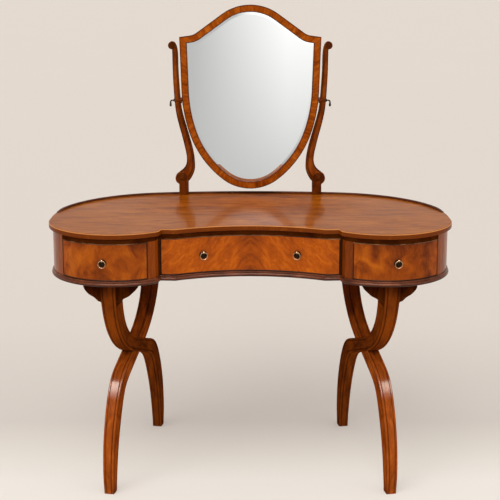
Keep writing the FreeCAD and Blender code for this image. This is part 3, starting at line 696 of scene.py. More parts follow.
# indices of points on the plan: the bay's corner, the lobe's first point and its last
bayEnd = plan["baySteps"]
lobeStart = bayEnd + 2
lobeEnd = lobeStart + plan["lobeSteps"]


def arcPoints(centre, radius, start, end, steps):
    angles = [start + (end - start) * step / steps for step in range(steps + 1)]
    return [centre + Vector((math.cos(a), math.sin(a))) * radius for a in angles]


def lineMeetsCircle(point, along, centre, radius, near):
    offset = point - centre
    half = offset.dot(along)
    root = math.sqrt(half**2 - offset.length_squared + radius**2)
    found = [point + along * (-half + root), point + along * (-half - root)]
    return min(found, key=lambda place: (place - near).length)


# The bay's arc, the notch, the lobe, the side's corner and the back, all moved inwards by the inset
def planPath(inset):
    corner = Vector((plan["bayCornerX"], plan["bayCornerSetback"] - plan["halfDepth"]))
    inner = Vector((plan["notchInnerX"], plan["flatSetback"] - plan["halfDepth"]))
    lobeReach = plan["notchOuterX"] - lobeCentre.x
    outer = Vector((plan["notchOuterX"], lobeCentre.y - math.sqrt(plan["lobeRadius"] ** 2 - lobeReach**2)))
    flat = (inner - corner).normalized()
    back = (outer - inner).normalized()
    flatStart = corner + Vector((-flat.y, flat.x)) * inset
    backStart = inner + Vector((-back.y, back.x)) * inset
    cross = flat.x * back.y - flat.y * back.x
    reach = ((backStart - flatStart).x * back.y - (backStart - flatStart).y * back.x) / cross
    innerHere = flatStart + flat * reach
    cornerHere = lineMeetsCircle(flatStart, flat, bayCentre, bayRadius + inset, corner)
    outerHere = lineMeetsCircle(backStart, back, lobeCentre, plan["lobeRadius"] - inset, outer)
    bayTurn = math.atan2(*(cornerHere - bayCentre).yx)
    lobeTurn = math.atan2(*(outerHere - lobeCentre).yx)
    backCentre = Vector((0, plan["halfDepth"] - plan["backRadius"]))
    sideY = lobeCentre.y + plan["sideStraight"]
    rise = sideY - backCentre.y
    spare = plan["backRadius"] - plan["halfLength"]
    cornerRadius = (plan["backRadius"] ** 2 - plan["halfLength"] ** 2 - rise**2) / (2 * spare)
    sideCentre = Vector((plan["halfLength"] - cornerRadius, sideY))
    backTurn = math.atan2(*(sideCentre - backCentre).yx)
    points = arcPoints(bayCentre, bayRadius + inset, math.pi / 2, bayTurn, plan["baySteps"])
    points += [innerHere]
    points += arcPoints(lobeCentre, plan["lobeRadius"] - inset, lobeTurn, 0, plan["lobeSteps"])
    points += arcPoints(sideCentre, cornerRadius - inset, 0, backTurn, plan["sideSteps"])
    backReach = plan["backRadius"] - inset
    points += arcPoints(backCentre, backReach, backTurn, math.pi / 2, plan["backSteps"])[1:]
    return points


# Places along the plan with the sideways move that makes one millimetre of outward offset
def planStations(inset, outset):
    pairs = zip(planPath(inset), planPath(inset - outset))
    return [(place, (other - place) / outset) for place, other in pairs]


# The stretch of stations where a test isn't negative, with its ends placed exactly
def stretch(stations, inside):
    kept = []
    for index in range(len(stations) - 1):
        (a, outA), (b, outB) = stations[index], stations[index + 1]
        first, last = inside(a), inside(b)
        if first >= 0:
            kept.append((a, outA))
        if (first < 0) != (last < 0):
            share = first / (first - last)
            kept.append((a.lerp(b, share), outA.lerp(outB, share)))
    if inside(stations[-1][0]) >= 0:
        kept.append(stations[-1])
    return kept


def flippedStations(stations):
    turned = [(Vector((-a.x, a.y)), Vector((-out.x, out.y))) for a, out in stations]
    return turned[::-1]


# Geometry Nodes: each tree has named inputs, and ends by realizing its instances and setting its finish

def startTree(name, **sockets):
    tree = bpy.data.node_groups.new(name, "GeometryNodeTree")
    for label, kind in {"Geometry": "Geometry", **sockets, "Finish": "Material"}.items():
        tree.interface.new_socket(label.replace("_", " "), in_out="INPUT", socket_type="NodeSocket" + kind)
    tree.interface.new_socket("Geometry", in_out="OUTPUT", socket_type="NodeSocketGeometry")
    graph = Graph(tree)
    return graph, graph.node("NodeGroupInput")


def endTree(graph, given, shape):
    whole = graph.node("GeometryNodeRealizeInstances", None, {0: shape})
    inputs = {0: whole, "Material": graph.output(given, "Finish")}
    graph.node("NodeGroupOutput", None, {0: graph.node("GeometryNodeSetMaterial", None, inputs)})
    return graph.tree


def storedField(graph, name, kind="FLOAT_VECTOR"):
    return graph.node("GeometryNodeInputNamedAttribute", {"data_type": kind}, {0: name})


# A profile swept along a path whose points carry their own across and proud directions
def sweepTree():
    graph, given = startTree("profile_along_path", Profile="Object")
    position = graph.node("GeometryNodeInputPosition")
    store = {"data_type": "FLOAT_VECTOR", "domain": "POINT"}
    path = graph.node("GeometryNodeMeshToCurve", None, {0: given})
    inputs = {0: path, "Name": "place", "Value": position}
    path = graph.node("GeometryNodeStoreNamedAttribute", store, inputs)
    shown = graph.node("GeometryNodeObjectInfo", None, {0: graph.output(given, "Profile")}, "Geometry")
    section = graph.node("GeometryNodeMeshToCurve", None, {0: shown})
    inputs = {0: section, "Name": "section", "Value": position}
    section = graph.node("GeometryNodeStoreNamedAttribute", store, inputs)
    tube = graph.node("GeometryNodeCurveToMesh", None, {0: path, 1: section, "Fill Caps": True})
    parts = graph.node("ShaderNodeSeparateXYZ", None, {0: storedField(graph, "section")})
    across = graph.vector("SCALE", storedField(graph, "across"), scale=parts)
    proud = graph.vector("SCALE", storedField(graph, "proud"), scale=graph.output(parts, "Y"))
    moved = graph.vector("ADD", graph.vector("ADD", storedField(graph, "place"), across), proud)
    placed = graph.node("GeometryNodeSetPosition", None, {0: tube, "Position": moved})
    return endTree(graph, given, placed)


sweeps = sweepTree()


# Runs a tree on an object and keeps the result as a plain mesh of its own
def grown(source, tree, inputs, name, sharp):
    step = source.modifiers.new("growth", "NODES")
    step.node_group = tree
    for item in tree.interface.items_tree:
        if item.in_out == "INPUT" and item.name in inputs:
            step[item.identifier] = inputs[item.name]
    mesh = evaluatedMesh(source)
    source.modifiers.clear()
    bpy.data.objects.remove(source)
    for attribute in ("place", "section", "across", "proud"):
        if attribute in mesh.attributes:
            mesh.attributes.remove(mesh.attributes[attribute])
    return closedPiece(name, mesh, sharp)


def evaluatedMesh(piece):
    graph = bpy.context.evaluated_depsgraph_get()
    return bpy.data.meshes.new_from_object(piece.evaluated_get(graph), depsgraph=graph)


def closedPiece(name, mesh, sharp):
    mesh.name = name
    closeMesh(mesh, sharp)
    return linked(name, mesh)


def loopEdges(count, closed):
    edges = [(index, index + 1) for index in range(count - 1)]
    return edges + [(count - 1, 0)] if closed else edges


# Path points are (place, across, proud) in millimetres; the profile is a closed loop of (across, proud)
def swept(name, path, profile, finish, closed=False):
    section = bpy.data.meshes.new(name + "_section")
    section.from_pydata([(x * mm, y * mm, 0) for x, y in profile], loopEdges(len(profile), True), [])
    sectionPiece = linked(name + "_section", section)
    line = bpy.data.meshes.new(name + "_path")
    line.from_pydata([place * mm for place, across, proud in path], loopEdges(len(path), closed), [])
    for index, key in ((1, "across"), (2, "proud")):
        values = [number for point in path for number in point[index]]
        line.attributes.new(key, "FLOAT_VECTOR", "POINT").data.foreach_set("vector", values)
    inputs = {"Profile": sectionPiece, "Finish": finish}
    piece = grown(linked(name + "_path", line), sweeps, inputs, name, smoothUpTo)
    bpy.data.objects.remove(sectionPiece)
    return piece


def flatPath(stations, height, rises=None):
    path = []
    for index, (place, outward) in enumerate(stations):
        rise = rises[index] if rises else 1
        path.append((Vector((*place, height)), Vector((*outward, 0)), up * rise))
    return path


# Top board with its edges eased: the same outline at nine insets and heights
topBoard = {
    "eased": [(6, 0), (1.2, 0), (0.35, 0.45), (0, 1.3)],
    "rounded": [(0, 2.6), (0.3, 1.3), (0.95, 0.45), (2.1, 0), (6, 0)],
}


def wholePlan(inset, height):
    half = planPath(inset)
    whole = half + [Vector((-place.x, place.y)) for place in half[-2:0:-1]]
    return [(place.x, place.y, height) for place in whole]


low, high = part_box("table_top")
rings = [wholePlan(inset, low.z / mm + rise) for inset, rise in topBoard["eased"]]
rings += [wholePlan(inset, high.z / mm - drop) for inset, drop in topBoard["rounded"]]
board = Shape().add(*lofted(rings)).piece("top_board", finishes["top_veneer"])
settle(board, "root", "top_veneer", "table_top")


# Moulding under the frieze: a bead with a small fillet over it

moulding = {
    "floorHeight": 612,
    "projection": 6,
    "backHalfLength": 300,
    "profile": [
        (0.05, 0.1), (2.6, 0.1), (4.1, 0.7), (5.2, 1.9), (5.85, 3.5), (6, 5.2), (5.7, 6.9), (4.9, 8.4),
        (3.7, 9.4), (2.5, 9.8), (2.2, 10.1), (2.4, 10.5), (2.9, 10.8), (3, 11.4), (3, 14.2), (2.6, 14.8),
        (1.9, 14.95), (0.05, 14.95),
    ],
}
faceStations = planStations(plan["overhang"], moulding["projection"])
bayStations = faceStations[: bayEnd + 1]
rightStations = stretch(
    faceStations[bayEnd:], lambda place: place.x - moulding["backHalfLength"] if place.y > 0 else 1
)
for name, stations in (
    ("left_moulding", flippedStations(rightStations)),
    ("bay_moulding", flippedStations(bayStations)[:-1] + bayStations),
    ("right_moulding", rightStations),
):
    path = flatPath(stations, moulding["floorHeight"])
    piece = swept(name + "_bead", path, moulding["profile"], finishes["dark_moulding"])
    settle(piece, "root", "dark_moulding", name)


# Gallery round the back of the top, in three lengths between the posts

gallery = {
    "floorHeight": 760,
    "width": 10,
    "startY": -5,
    "taper": 46,
    "endRise": 0.25,  # share of the full height at the front ends
    "postReach": 222.6,
    "postInner": 193.4,
    "profile": [
        (0.1, 0), (0.2, 2.2), (0.7, 4.0), (1.8, 5.3), (3.4, 5.9), (5.4, 6), (7.4, 5.8), (8.9, 5.0),
        (9.7, 3.6), (9.9, 1.8), (9.9, 0),
    ],
}
rimStations = planStations(gallery["width"], gallery["width"])
sideStations = stretch(
    stretch(rimStations[lobeEnd:], lambda place: place.y - gallery["startY"]),
    lambda place: place.x - gallery["postReach"],
)
middleStations = stretch(rimStations[lobeEnd:], lambda place: gallery["postInner"] - place.x)
middleStations = middleStations + flippedStations(middleStations)[1:]


def taperedRises(stations):
    rises, walked = [], 0
    for index, (place, outward) in enumerate(stations):
        walked += (place - stations[index - 1][0]).length if index else 0
        climbed = math.sin(min(walked / gallery["taper"], 1) * math.pi / 2)
        rises.append(gallery["endRise"] + (1 - gallery["endRise"]) * climbed)
    return rises


sideRises = taperedRises(sideStations)
for name, stations, rises in (
    ("left_gallery", flippedStations(sideStations), sideRises[::-1]),
    ("back_gallery", middleStations, None),
    ("right_gallery", sideStations, sideRises),
):
    path = flatPath(stations, gallery["floorHeight"], rises)
    piece = swept(name + "_rim", path, gallery["profile"], finishes["gallery_wood"])
    settle(piece, "root", "dark_moulding", name)
print("mouldings and gallery made")


# Beads round the drawer fronts

drawerBead = {
    "low": 627.8,
    "high": 731.2,
    "sideInnerX": 279.8,
    "sideOuterX": 516.2,
    "bayHalfWidth": 248.2,
    "profile": [
        (0.06, -0.8), (0.06, 0.5), (0.35, 1.0), (0.9, 1.3), (1.5, 1.35), (2.1, 1.2), (2.6, 0.75),
        (2.8, 0.2), (2.8, -0.8),
    ],
}


# Path of a bead: along the front's foot and back along its head, with mitred corners
def beadLoop(stations):
    points = []
    for height, rise in ((drawerBead["low"], 1), (drawerBead["high"], -1)):
        row = []
        for index, (place, outward) in enumerate(stations):
            across = up * rise
            if index in (0, len(stations) - 1):
                along = (stations[1][0] - place) if index == 0 else (stations[-2][0] - place)
                across = across + Vector((*along.normalized(), 0))
            row.append((Vector((*place, height)), across, Vector((*outward, 0))))
        points += row if rise > 0 else row[::-1]
    return points


sideFront = stretch(
    faceStations[: lobeEnd + 1],
    lambda place: min(place.x - drawerBead["sideInnerX"], drawerBead["sideOuterX"] - place.x),
)
halfBay = stretch(faceStations[: lobeStart + 1], lambda place: drawerBead["bayHalfWidth"] - place.x)
for body, stations in (
    ("left_drawer", flippedStations(sideFront)),
    ("bay_drawer", flippedStations(halfBay)[:-1] + halfBay),
    ("right_drawer", sideFront),
):
    path = beadLoop(stations)
    piece = swept(body + "_bead", path, drawerBead["profile"], finishes["bead_wood"], closed=True)
    settle(piece, body, "dark_moulding")


# Crossed legs: a beaded section carried down each leg, the two halved together

legs = {
    "supportX": 348,
    "supportY": 2,
    "toeIn": 10.9,
    "head": 612,
    "crossingShare": 0.582,  # of the head's height
    "upperReach": 209,
    "lowerReach": 257,
    "depth": 50,
    "crossingDepth": 0.82,
    "topWidth": 44,
    "footWidth": 29,
    "bead": 3.3,
    "quirk": 0.9,
    "shade": 2.5,
    "beadTurn": (-60, 150),
    "beadSteps": 10,
    # shares of the reach, of the height from the crossing and of the depth
    "upper": [
        (0.27, 0.08, 0.85), (0.57, 0.22, 0.95), (0.79, 0.40, 1.08), (0.93, 0.62, 1.26),
        (0.985, 0.82, 1.38), (1, 1, 1.44),
    ],
    "lower": [
        (0.39, 0.098, 0.88), (0.63, 0.18, 0.98), (0.765, 0.30, 1.04), (0.87, 0.455, 1.05),
        (0.94, 0.605, 1.01), (0.985, 0.77, 0.90), (1, 0.9, 0.76), (1, 1, 0.62),
    ],
    "steps": 130,
    "plainSteps": 40,
    "samples": 260,
    # the halving: how far the cutting shape is proud of the leg, and the half of the joint it takes
    "cutSpare": 1.5,
    "lapReach": 90,
    "lapDepth": 40,
    "lapHeights": (250, 460),
    "dirtAndShadeReach": 2.3,  # how far the dark patina and painted shade in a quirk climb the bead
    "skin": 0.5,  # within it a point lies on a flat side
    "flatMargin": 1.5,  # beads' radii between a flat side's points and the edge
}
crossing = legs["crossingShare"] * legs["head"]


def legEdges():
    centres = [(0, 0, crossing)]
    depths = [legs["crossingDepth"]]
    for reach, rise, depth in legs["upper"]:
        centres.insert(0, (-legs["upperReach"] * reach, 0, crossing + (legs["head"] - crossing) * rise))
        depths.insert(0, depth)
    for reach, drop, depth in legs["lower"]:
        centres.append((legs["lowerReach"] * reach, 0, crossing * (1 - drop)))
        depths.append(depth)
    down = (0, 0, -1)
    middle = Curve(centres, down, down)
    edges = []
    for side in (-1, 1):
        points = []
        for index, (centre, depth) in enumerate(zip(centres, depths)):
            along = middle.direction(index)
            sideways = Vector((-along.z, 0, along.x))
            points.append(Vector(centre) + sideways * (side * depth * legs["depth"] / 2))
        edges.append(Curve(points, down, down))
    return edges


def legWidth(height):
    return legs["footWidth"] + (legs["topWidth"] - legs["footWidth"]) * height / legs["head"]


# One corner of the section, as moves inwards from the two faces that meet there
def beadCorner():
    radius = legs["bead"]
    quirk = 2 * radius + legs["quirk"]
    first, last = legs["beadTurn"]
    corner = [(0, quirk + legs["shade"]), (0, quirk)]
    for step in range(legs["beadSteps"] + 1):
        angle = math.radians(first + (last - first) * step / legs["beadSteps"])
        corner.append((radius - radius * math.cos(angle), radius - radius * math.sin(angle)))
    return corner + [(quirk, 0), (quirk + legs["shade"], 0)]


# A plain section, without beads, is widened to cut the other leg's half of the joint
def legRing(near, far, widen):
    corner = [(0, 0)] if widen else beadCorner()
    along = (far - near).normalized()
    depth = (far - near).length
    ring = []
    for side, ends in ((1, (0, depth)), (-1, (depth, 0))):
        for end, row in zip(ends, (corner, corner[::-1])):
            for inDepth, inWidth in row:
                point = near + along * abs(end - inDepth)
                point.y = side * (legWidth(point.z) / 2 + widen - inWidth)
                ring.append(point)
    return ring


nearEdge, farEdge = legEdges()


def legShape(facing, widen=0):
    stations = nearEdge.stations(legs["plainSteps"] if widen else legs["steps"])
    rings = [legRing(nearEdge.at(station), farEdge.at(station), widen) for station in stations]
    return Shape().add(*lofted(rings), Matrix.Scale(facing, 4, Vector((1, 0, 0))))


# From the support's frame to the right side of the table
toRight = (
    Matrix.Translation((legs["supportX"], legs["supportY"], 0))
    @ Matrix.Rotation(math.radians(90 + legs["toeIn"]), 4, "Z")
)


def boxShape(low, high):
    xs, ys, zs = zip(low, high)
    points = [(x, y, z) for x in xs for y in ys for z in zs]
    faces = [(0, 1, 3, 2), (4, 6, 7, 5), (0, 4, 5, 1), (2, 3, 7, 6), (0, 2, 6, 4), (1, 5, 7, 3)]
    return Shape().add(points, faces)


def combined(name, base, operation, other):
    step = base.modifiers.new("halving", "BOOLEAN")
    step.object = other
    step.operation = operation
    step.solver = "EXACT"
    mesh = evaluatedMesh(base)
    for piece in (base, other):
        bpy.data.objects.remove(piece)
    return closedPiece(name, mesh, smoothUpTo)


# The rear leg gives way on the outer side of the crossing, and the front leg on the knee side
def halvedLeg(name, facing, side):
    wood = finishes["leg_wood"]
    plain = legShape(facing).piece(name + "_sweep", wood)
    other = legShape(-facing, legs["cutSpare"]).piece(name + "_other", wood)
    reach, (low, high) = legs["lapReach"], legs["lapHeights"]
    near, far = sorted((0, side * legs["lapDepth"]))
    half = boxShape((-reach, near, low), (reach, far, high)).piece(name + "_half", wood)
    return combined(name, plain, "DIFFERENCE", combined(name + "_lap", half, "INTERSECT", other))


# What the leg's finish reads: millimetres across and along it, its grooves and its flat sides
def dressLeg(piece, facing, mirror):
    turnBack = toRight.inverted()
    places = []
    for vertex in piece.data.vertices:
        x, y, z = vertex.co / mm
        place = turnBack @ Vector((mirror * x, y, z))
        places.append((facing * place.x, place.y, place.z))
    places = np.array(places)
    stations = nearEdge.stations(legs["samples"])
    near = np.array([nearEdge.at(station) for station in stations])
    far = np.array([farEdge.at(station) for station in stations])
    middles = (near + far) / 2
    halves = np.linalg.norm(far - near, axis=1) / 2
    across = (far - near) / (2 * halves[:, None])
    steps = np.linalg.norm(np.diff(middles, axis=0), axis=1)
    walked = np.concatenate([[0], np.cumsum(steps)])
    flat = places * (1, 0, 1)
    nearest = np.linalg.norm(flat[:, None] - middles[None], axis=2).argmin(axis=1)
    offset = ((flat - middles[nearest]) * across[nearest]).sum(axis=1)
    inDepth = halves[nearest] - abs(offset)
    inWidth = legWidth(places[:, 2]) / 2 - abs(places[:, 1])
    past = np.maximum(inDepth, inWidth) - 2 * legs["bead"] - legs["quirk"]
    # dark patina and painted shade in the quirk beside each bead
    groove = np.clip(past + legs["dirtAndShadeReach"], 0, 1) * np.clip(1 - past / legs["shade"], 0, 1)
    # flat sides, which the finish paints in shade
    flatSide = ((inWidth < legs["skin"]) & (inDepth > legs["bead"] * legs["flatMargin"])).astype(float)
    fibre = np.stack([offset, places[:, 1], walked[nearest]], axis=1)
    attributes = piece.data.attributes
    attributes.new("fibre", "FLOAT_VECTOR", "POINT").data.foreach_set("vector", fibre.ravel())
    attributes.new("groove", "FLOAT", "POINT").data.foreach_set("value", groove)
    attributes.new("flatSide", "FLOAT", "POINT").data.foreach_set("value", flatSide)


for kind, facing, side, wood in (("rear_leg", 1, -1, "rear_leg_wood"), ("front_leg", -1, 1, "leg_wood")):
    model = halvedLeg(kind + "_model", facing, side)
    shape = Shape()
    points = [vertex.co / mm for vertex in model.data.vertices]
    shape.add(points, [tuple(face.vertices) for face in model.data.polygons], toRight)
    bpy.data.objects.remove(model)
    for hand, own, mirror in (("right", shape, 1), ("left", shape.mirrored(), -1)):
        piece = own.piece(f"{hand}_{kind}_beaded", finishes[wood])
        dressLeg(piece, facing, mirror)
        settle(piece, "root", "leg_wood", f"{hand}_{kind}")
print("legs made")


# Mirror posts: a moulded stem between two scrolls on a block

posts = {
    "x": 208,
    "y": 273.955,
    "floorHeight": 760,
    "blockWidth": 29,
    "blockHeight": 42,
    "depth": 20,
    "relief": 2,
    "blockEase": (0.8, 1.2),  # at its foot and at its head
    "blockCorner": (0.94, 0.9),
    # the two scroll ends: place across, height and radius
    "scrolls": [(214, 812, 20), (240, 1225, 12)],
    "scrollSteps": 56,
    # a rim, a sunk field for the carved spiral and a button: share of the radius, depth behind the face
    "scrollFace": [
        (0, 0), (0.12, 0.1), (0.2, 0.6), (0.24, 1.6), (0.26, 1.9), (0.86, 1.9), (0.885, 1.5), (0.9, 0.5),
        (0.92, 0.15), (0.965, 0.15), (0.99, 0.5), (1, 1.3),
    ],
    "fieldEdge": 0.87,
    "stemX": 173,
    "stemReach": 60,
    "stemRise": 477,
    "stemSteps": 120,
    "samples": 400,
    # dark patina and painted shade in the scrolls' sunk fields
    "fieldGrime": 0.8,
    # the stem's two edges, as shares of its reach and rise
    "inner": [
        (0.50, 0.075), (0.30, 0.094), (0.12, 0.128), (0.017, 0.162), (0, 0.2), (0.02, 0.24),
        (0.09, 0.295), (0.24, 0.37), (0.50, 0.485), (0.645, 0.56), (0.72, 0.645), (0.775, 0.745),
        (0.81, 0.85), (0.825, 0.93), (0.88, 0.97), (1, 0.995), (1.12, 1),
    ],
    "outer": [
        (0.80, 0.150), (0.55, 0.178), (0.425, 0.215), (0.425, 0.26), (0.50, 0.31), (0.64, 0.385),
        (0.83, 0.475), (0.96, 0.555), (1.03, 0.645), (1.075, 0.75), (1.10, 0.85), (1.11, 0.94),
        (1.12, 0.97),
    ],
    # shares of the stem's width from its inner edge, how far each lies behind the face, and its darkening:
    # dark patina and painted shade
    "face": [
        (0, 2.6, 0.9), (0.05, 1.9, 0.75), (0.12, 1.5, 0.6), (0.2, 1.35, 0.65), (0.27, 1.45, 1),
        (0.3, 1.1, 0.9), (0.32, 0.3, 0.3), (0.4, 0.05, 0), (0.6, 0, 0), (0.82, 0.05, 0), (0.88, 0.3, 0.4),
        (0.92, 1.0, 1), (0.96, 1.1, 1), (1, 1.3, 1),
    ],
    "backGrime": 0.6,
}


# Heights and places across of many samples along one edge of the stem
def stemEdge(shares):
    points = []
    for reach, rise in shares:
        height = posts["floorHeight"] + posts["stemRise"] * rise
        points.append((posts["stemX"] + posts["stemReach"] * reach, 0, height))
    curve = Curve(points)
    samples = [curve.at(station) for station in curve.stations(posts["samples"])]
    return [point.z for point in samples], [point.x for point in samples]


# Sections across the stem, from its foot to its head
def stemRings():
    edges = [stemEdge(posts[side]) for side in ("inner", "outer")]
    front = posts["y"] - posts["depth"] / 2 + posts["relief"]
    back = posts["y"] + posts["depth"] / 2 - posts["relief"]
    rings = []
    for step in range(posts["stemSteps"] + 1):
        share = step / posts["stemSteps"]
        ends = []
        for heights, reaches in edges:
            height = heights[0] + (heights[-1] - heights[0]) * share
            ends.append(Vector((np.interp(height, heights, reaches), 0, height)))
        inner, outer = ends
        places = [(inner.lerp(outer, across), front + recess) for across, recess, dirtAndShade in posts["face"]]
        places += [(outer, back), (inner, back)]
        rings.append([(place.x, y, place.z) for place, y in places])
    return rings


def postShape():
    shape = Shape()
    rings = stemRings()
    # dark patina and painted shade in the stem's hollows and along its back
    dirtAndShade = [patinaAndShade for across, recess, patinaAndShade in posts["face"]] + [posts["backGrime"]] * 2
    shape.add(*lofted(rings), grooves=dirtAndShade * len(rings))
    half = posts["depth"] / 2
    steps = posts["scrollSteps"]
    for x, height, radius in posts["scrolls"]:
        front = [(radius * share, behind - half) for share, behind in posts["scrollFace"]]
        profile = front + [(reach, -along) for reach, along in front[::-1]]
        grooves = []
        for reach, along in profile:
            # dark patina and painted shade in the sunk field
            sunk = reach / radius < posts["fieldEdge"]
            grooves += [posts["fieldGrime"] if sunk else 0.0] * steps
        place = Matrix.Translation((x, posts["y"], height))
        shape.add(*turned(profile, steps), place, grooves)
    return shape


def blockRings():
    low = posts["floorHeight"]
    top = low + posts["blockHeight"]
    foot, head = posts["blockEase"]
    nearX, nearY = posts["blockCorner"]
    corners = [(1, nearY), (nearX, 1), (-nearX, 1), (-1, nearY)]
    corners += [(-a, -b) for a, b in corners]
    rings = []
    for inset, height in ((foot, low), (0, low + foot), (0, top - head), (head, top)):
        halfX, halfY = posts["blockWidth"] / 2 - inset, posts["depth"] / 2 - inset
        rings.append([(posts["x"] + halfX * a, posts["y"] + halfY * b, height) for a, b in corners])
    return rings


post = postShape().add(*lofted(blockRings()), finish=1)
for hand, own in (("right", post), ("left", post.mirrored())):
    piece = own.piece(hand + "_post_scrolls", finishes["post_wood"], finishes["carved_wood"])
    settle(piece, "root", "post_wood", hand + "_mirror_post")


# Carved spirals on both faces of each scroll end: one bead wound inwards, placed on every face
carving = {
    "turns": 2.1,
    # shares of the scroll's radius
    "outer": 0.8,
    "inner": 0.3,
    "bead": 0.075,
    "thinning": 0.45,  # share that the bead loses towards its inner end
    "sink": 8.1,
    "turnSteps": 40,
    "beadSteps": 10,
    "smoothUpTo": 60,
}


def carvingTree():
    sizes = dict.fromkeys(("Turns", "Outer_Radius", "Inner_Radius", "Bead_Radius"), "Float")
    graph, given = startTree("carved_spirals", **sizes)
    inputs = {
        "Resolution": carving["turnSteps"],
        "Rotations": graph.output(given, "Turns"),
        "Start Radius": graph.output(given, "Outer Radius"),
        "End Radius": graph.output(given, "Inner Radius"),
        "Height": 0.0,
    }
    spiral = graph.node("GeometryNodeCurveSpiral", None, inputs)
    inputs = {"Resolution": carving["beadSteps"], "Radius": graph.output(given, "Bead Radius")}
    bead = graph.node("GeometryNodeCurvePrimitiveCircle", {"mode": "RADIUS"}, inputs)
    walk = graph.node("GeometryNodeSplineParameter")
    inputs = {0: spiral, 1: bead, "Scale": 1 - carving["thinning"] * walk, "Fill Caps": True}
    wound = graph.node("GeometryNodeCurveToMesh", None, inputs)
    size, turn = storedField(graph, "size", "FLOAT"), storedField(graph, "turn")
    inputs = {"Points": given, "Instance": wound, "Rotation": turn, "Scale": size}
    return endTree(graph, given, graph.node("GeometryNodeInstanceOnPoints", None, inputs))


carvings = carvingTree()


def carvedSpirals(name, mirror):
    quarter = math.pi / 2
    places, sizes, turns = [], [], []
    for x, height, radius in posts["scrolls"]:
        for face in (-1, 1):
            places.append((mirror * x * mm, (posts["y"] + face * carving["sink"]) * mm, height * mm))
            sizes.append(radius * mm)
            turns += [-face * mirror * quarter, mirror * quarter, 0]
    seats = bpy.data.meshes.new(name + "_seats")
    seats.from_pydata(places, [], [])
    seats.attributes.new("size", "FLOAT", "POINT").data.foreach_set("value", sizes)
    seats.attributes.new("turn", "FLOAT_VECTOR", "POINT").data.foreach_set("vector", turns)
    inputs = {
        "Turns": carving["turns"],
        "Outer Radius": carving["outer"],
        "Inner Radius": carving["inner"],
        "Bead Radius": carving["bead"],
        "Finish": finishes["carved_wood"],
    }
    return grown(linked(name + "_seats", seats), carvings, inputs, name, carving["smoothUpTo"])


for hand, mirror in (("right", 1), ("left", -1)):
    settle(carvedSpirals(hand + "_post_carving", mirror), "root", "post_wood")
print("posts made")


# Beads on the two edges of the mirror's frame, along the outlines of its CAD front. The frame
# leans back about its pivots, so its outlines are read upright and carried back to the lean.

mirrorFrame = {
    "pivotHeight": 1056,
    "lean": 2.5,
    "frontY": 263.955,
    "outerProfile": [
        (0.1, -1.5), (0.1, 0.2), (0.5, 0.9), (1.2, 1.25), (2, 1.1), (2.5, 0.5), (2.6, 0), (2.6, -1.5),
    ],
    "innerProfile": [
        (-0.3, -3), (-0.3, 0.2), (0.1, 0.7), (0.7, 0.9), (1.3, 0.7), (1.6, 0.2), (1.6, -3),
    ],
    "mitreLimit": 0.4,
    "merge": 0.01,
    "flatness": 0.05,
}
pivot = Vector((0, posts["y"], mirrorFrame["pivotHeight"]))
turnBack = Matrix.Rotation(math.radians(-mirrorFrame["lean"]), 4, "X")
leaning = Matrix.Translation(pivot) @ turnBack @ Matrix.Translation(-pivot)


# The closed outlines of a node's flat front, widest first
def frontOutlines(node, frontY):
    work = bmesh.new()
    work.from_mesh(node.data)
    bmesh.ops.transform(work, matrix=leaning.inverted() @ Matrix.Scale(1 / mm, 4), verts=work.verts)
    bmesh.ops.remove_doubles(work, verts=work.verts, dist=mirrorFrame["merge"])
    near = mirrorFrame["flatness"]
    flat = [face for face in work.faces if all(abs(v.co.y - frontY) < near for v in face.verts)]
    inside = set(flat)
    rim = [edge for face in flat for edge in face.edges if sum(f in inside for f in edge.link_faces) == 1]
    following = {}
    for edge in rim:
        a, b = edge.verts
        following.setdefault(a, []).append(b)
        following.setdefault(b, []).append(a)
    outlines = []
    while following:
        here = next(iter(following))
        loop = [here.co.copy()]
        while ahead := [v for v in following.pop(here) if v in following]:
            here = ahead[0]
            loop.append(here.co.copy())
        outlines.append(loop)
    work.free()
    return sorted(outlines, key=lambda loop: -max(point.x for point in loop))


# Each outline point gets the mitred direction towards the frame's wood
def outlinePath(loop, inward):
    ahead = loop[1:] + loop[:1]
    area = sum(a.x * b.z - b.x * a.z for a, b in zip(loop, ahead))
    turn = (1 if area > 0 else -1) * (1 if inward else -1)
    lean = leaning.to_3x3()
    path = []
    for before, point, after in zip(loop[-1:] + loop[:-1], loop, ahead):
        normals = [Vector((-d.z, 0, d.x)).normalized() * turn for d in (point - before, after - point)]
        middle = (normals[0] + normals[1]).normalized()
        across = middle / max(middle.dot(normals[0]), mirrorFrame["mitreLimit"])
        path.append((leaning @ point, lean @ across, lean @ Vector((0, -1, 0))))
    return path


outlines = frontOutlines(nodes["mirror_frame"], mirrorFrame["frontY"])
print("frame outlines:", [len(loop) for loop in outlines])
for side, loop, inward in (("outer", outlines[0], True), ("inner", outlines[1], False)):
    path = outlinePath(loop, inward)
    profile = mirrorFrame[side + "Profile"]
    piece = swept(side + "_frame_bead", path, profile, finishes["frame_edge"], closed=True)
    settle(piece, "mirror", "dark_moulding")
print("mirror frame beads made")


# Ring pulls: a turned plate and eye on each front, and a ring that swings

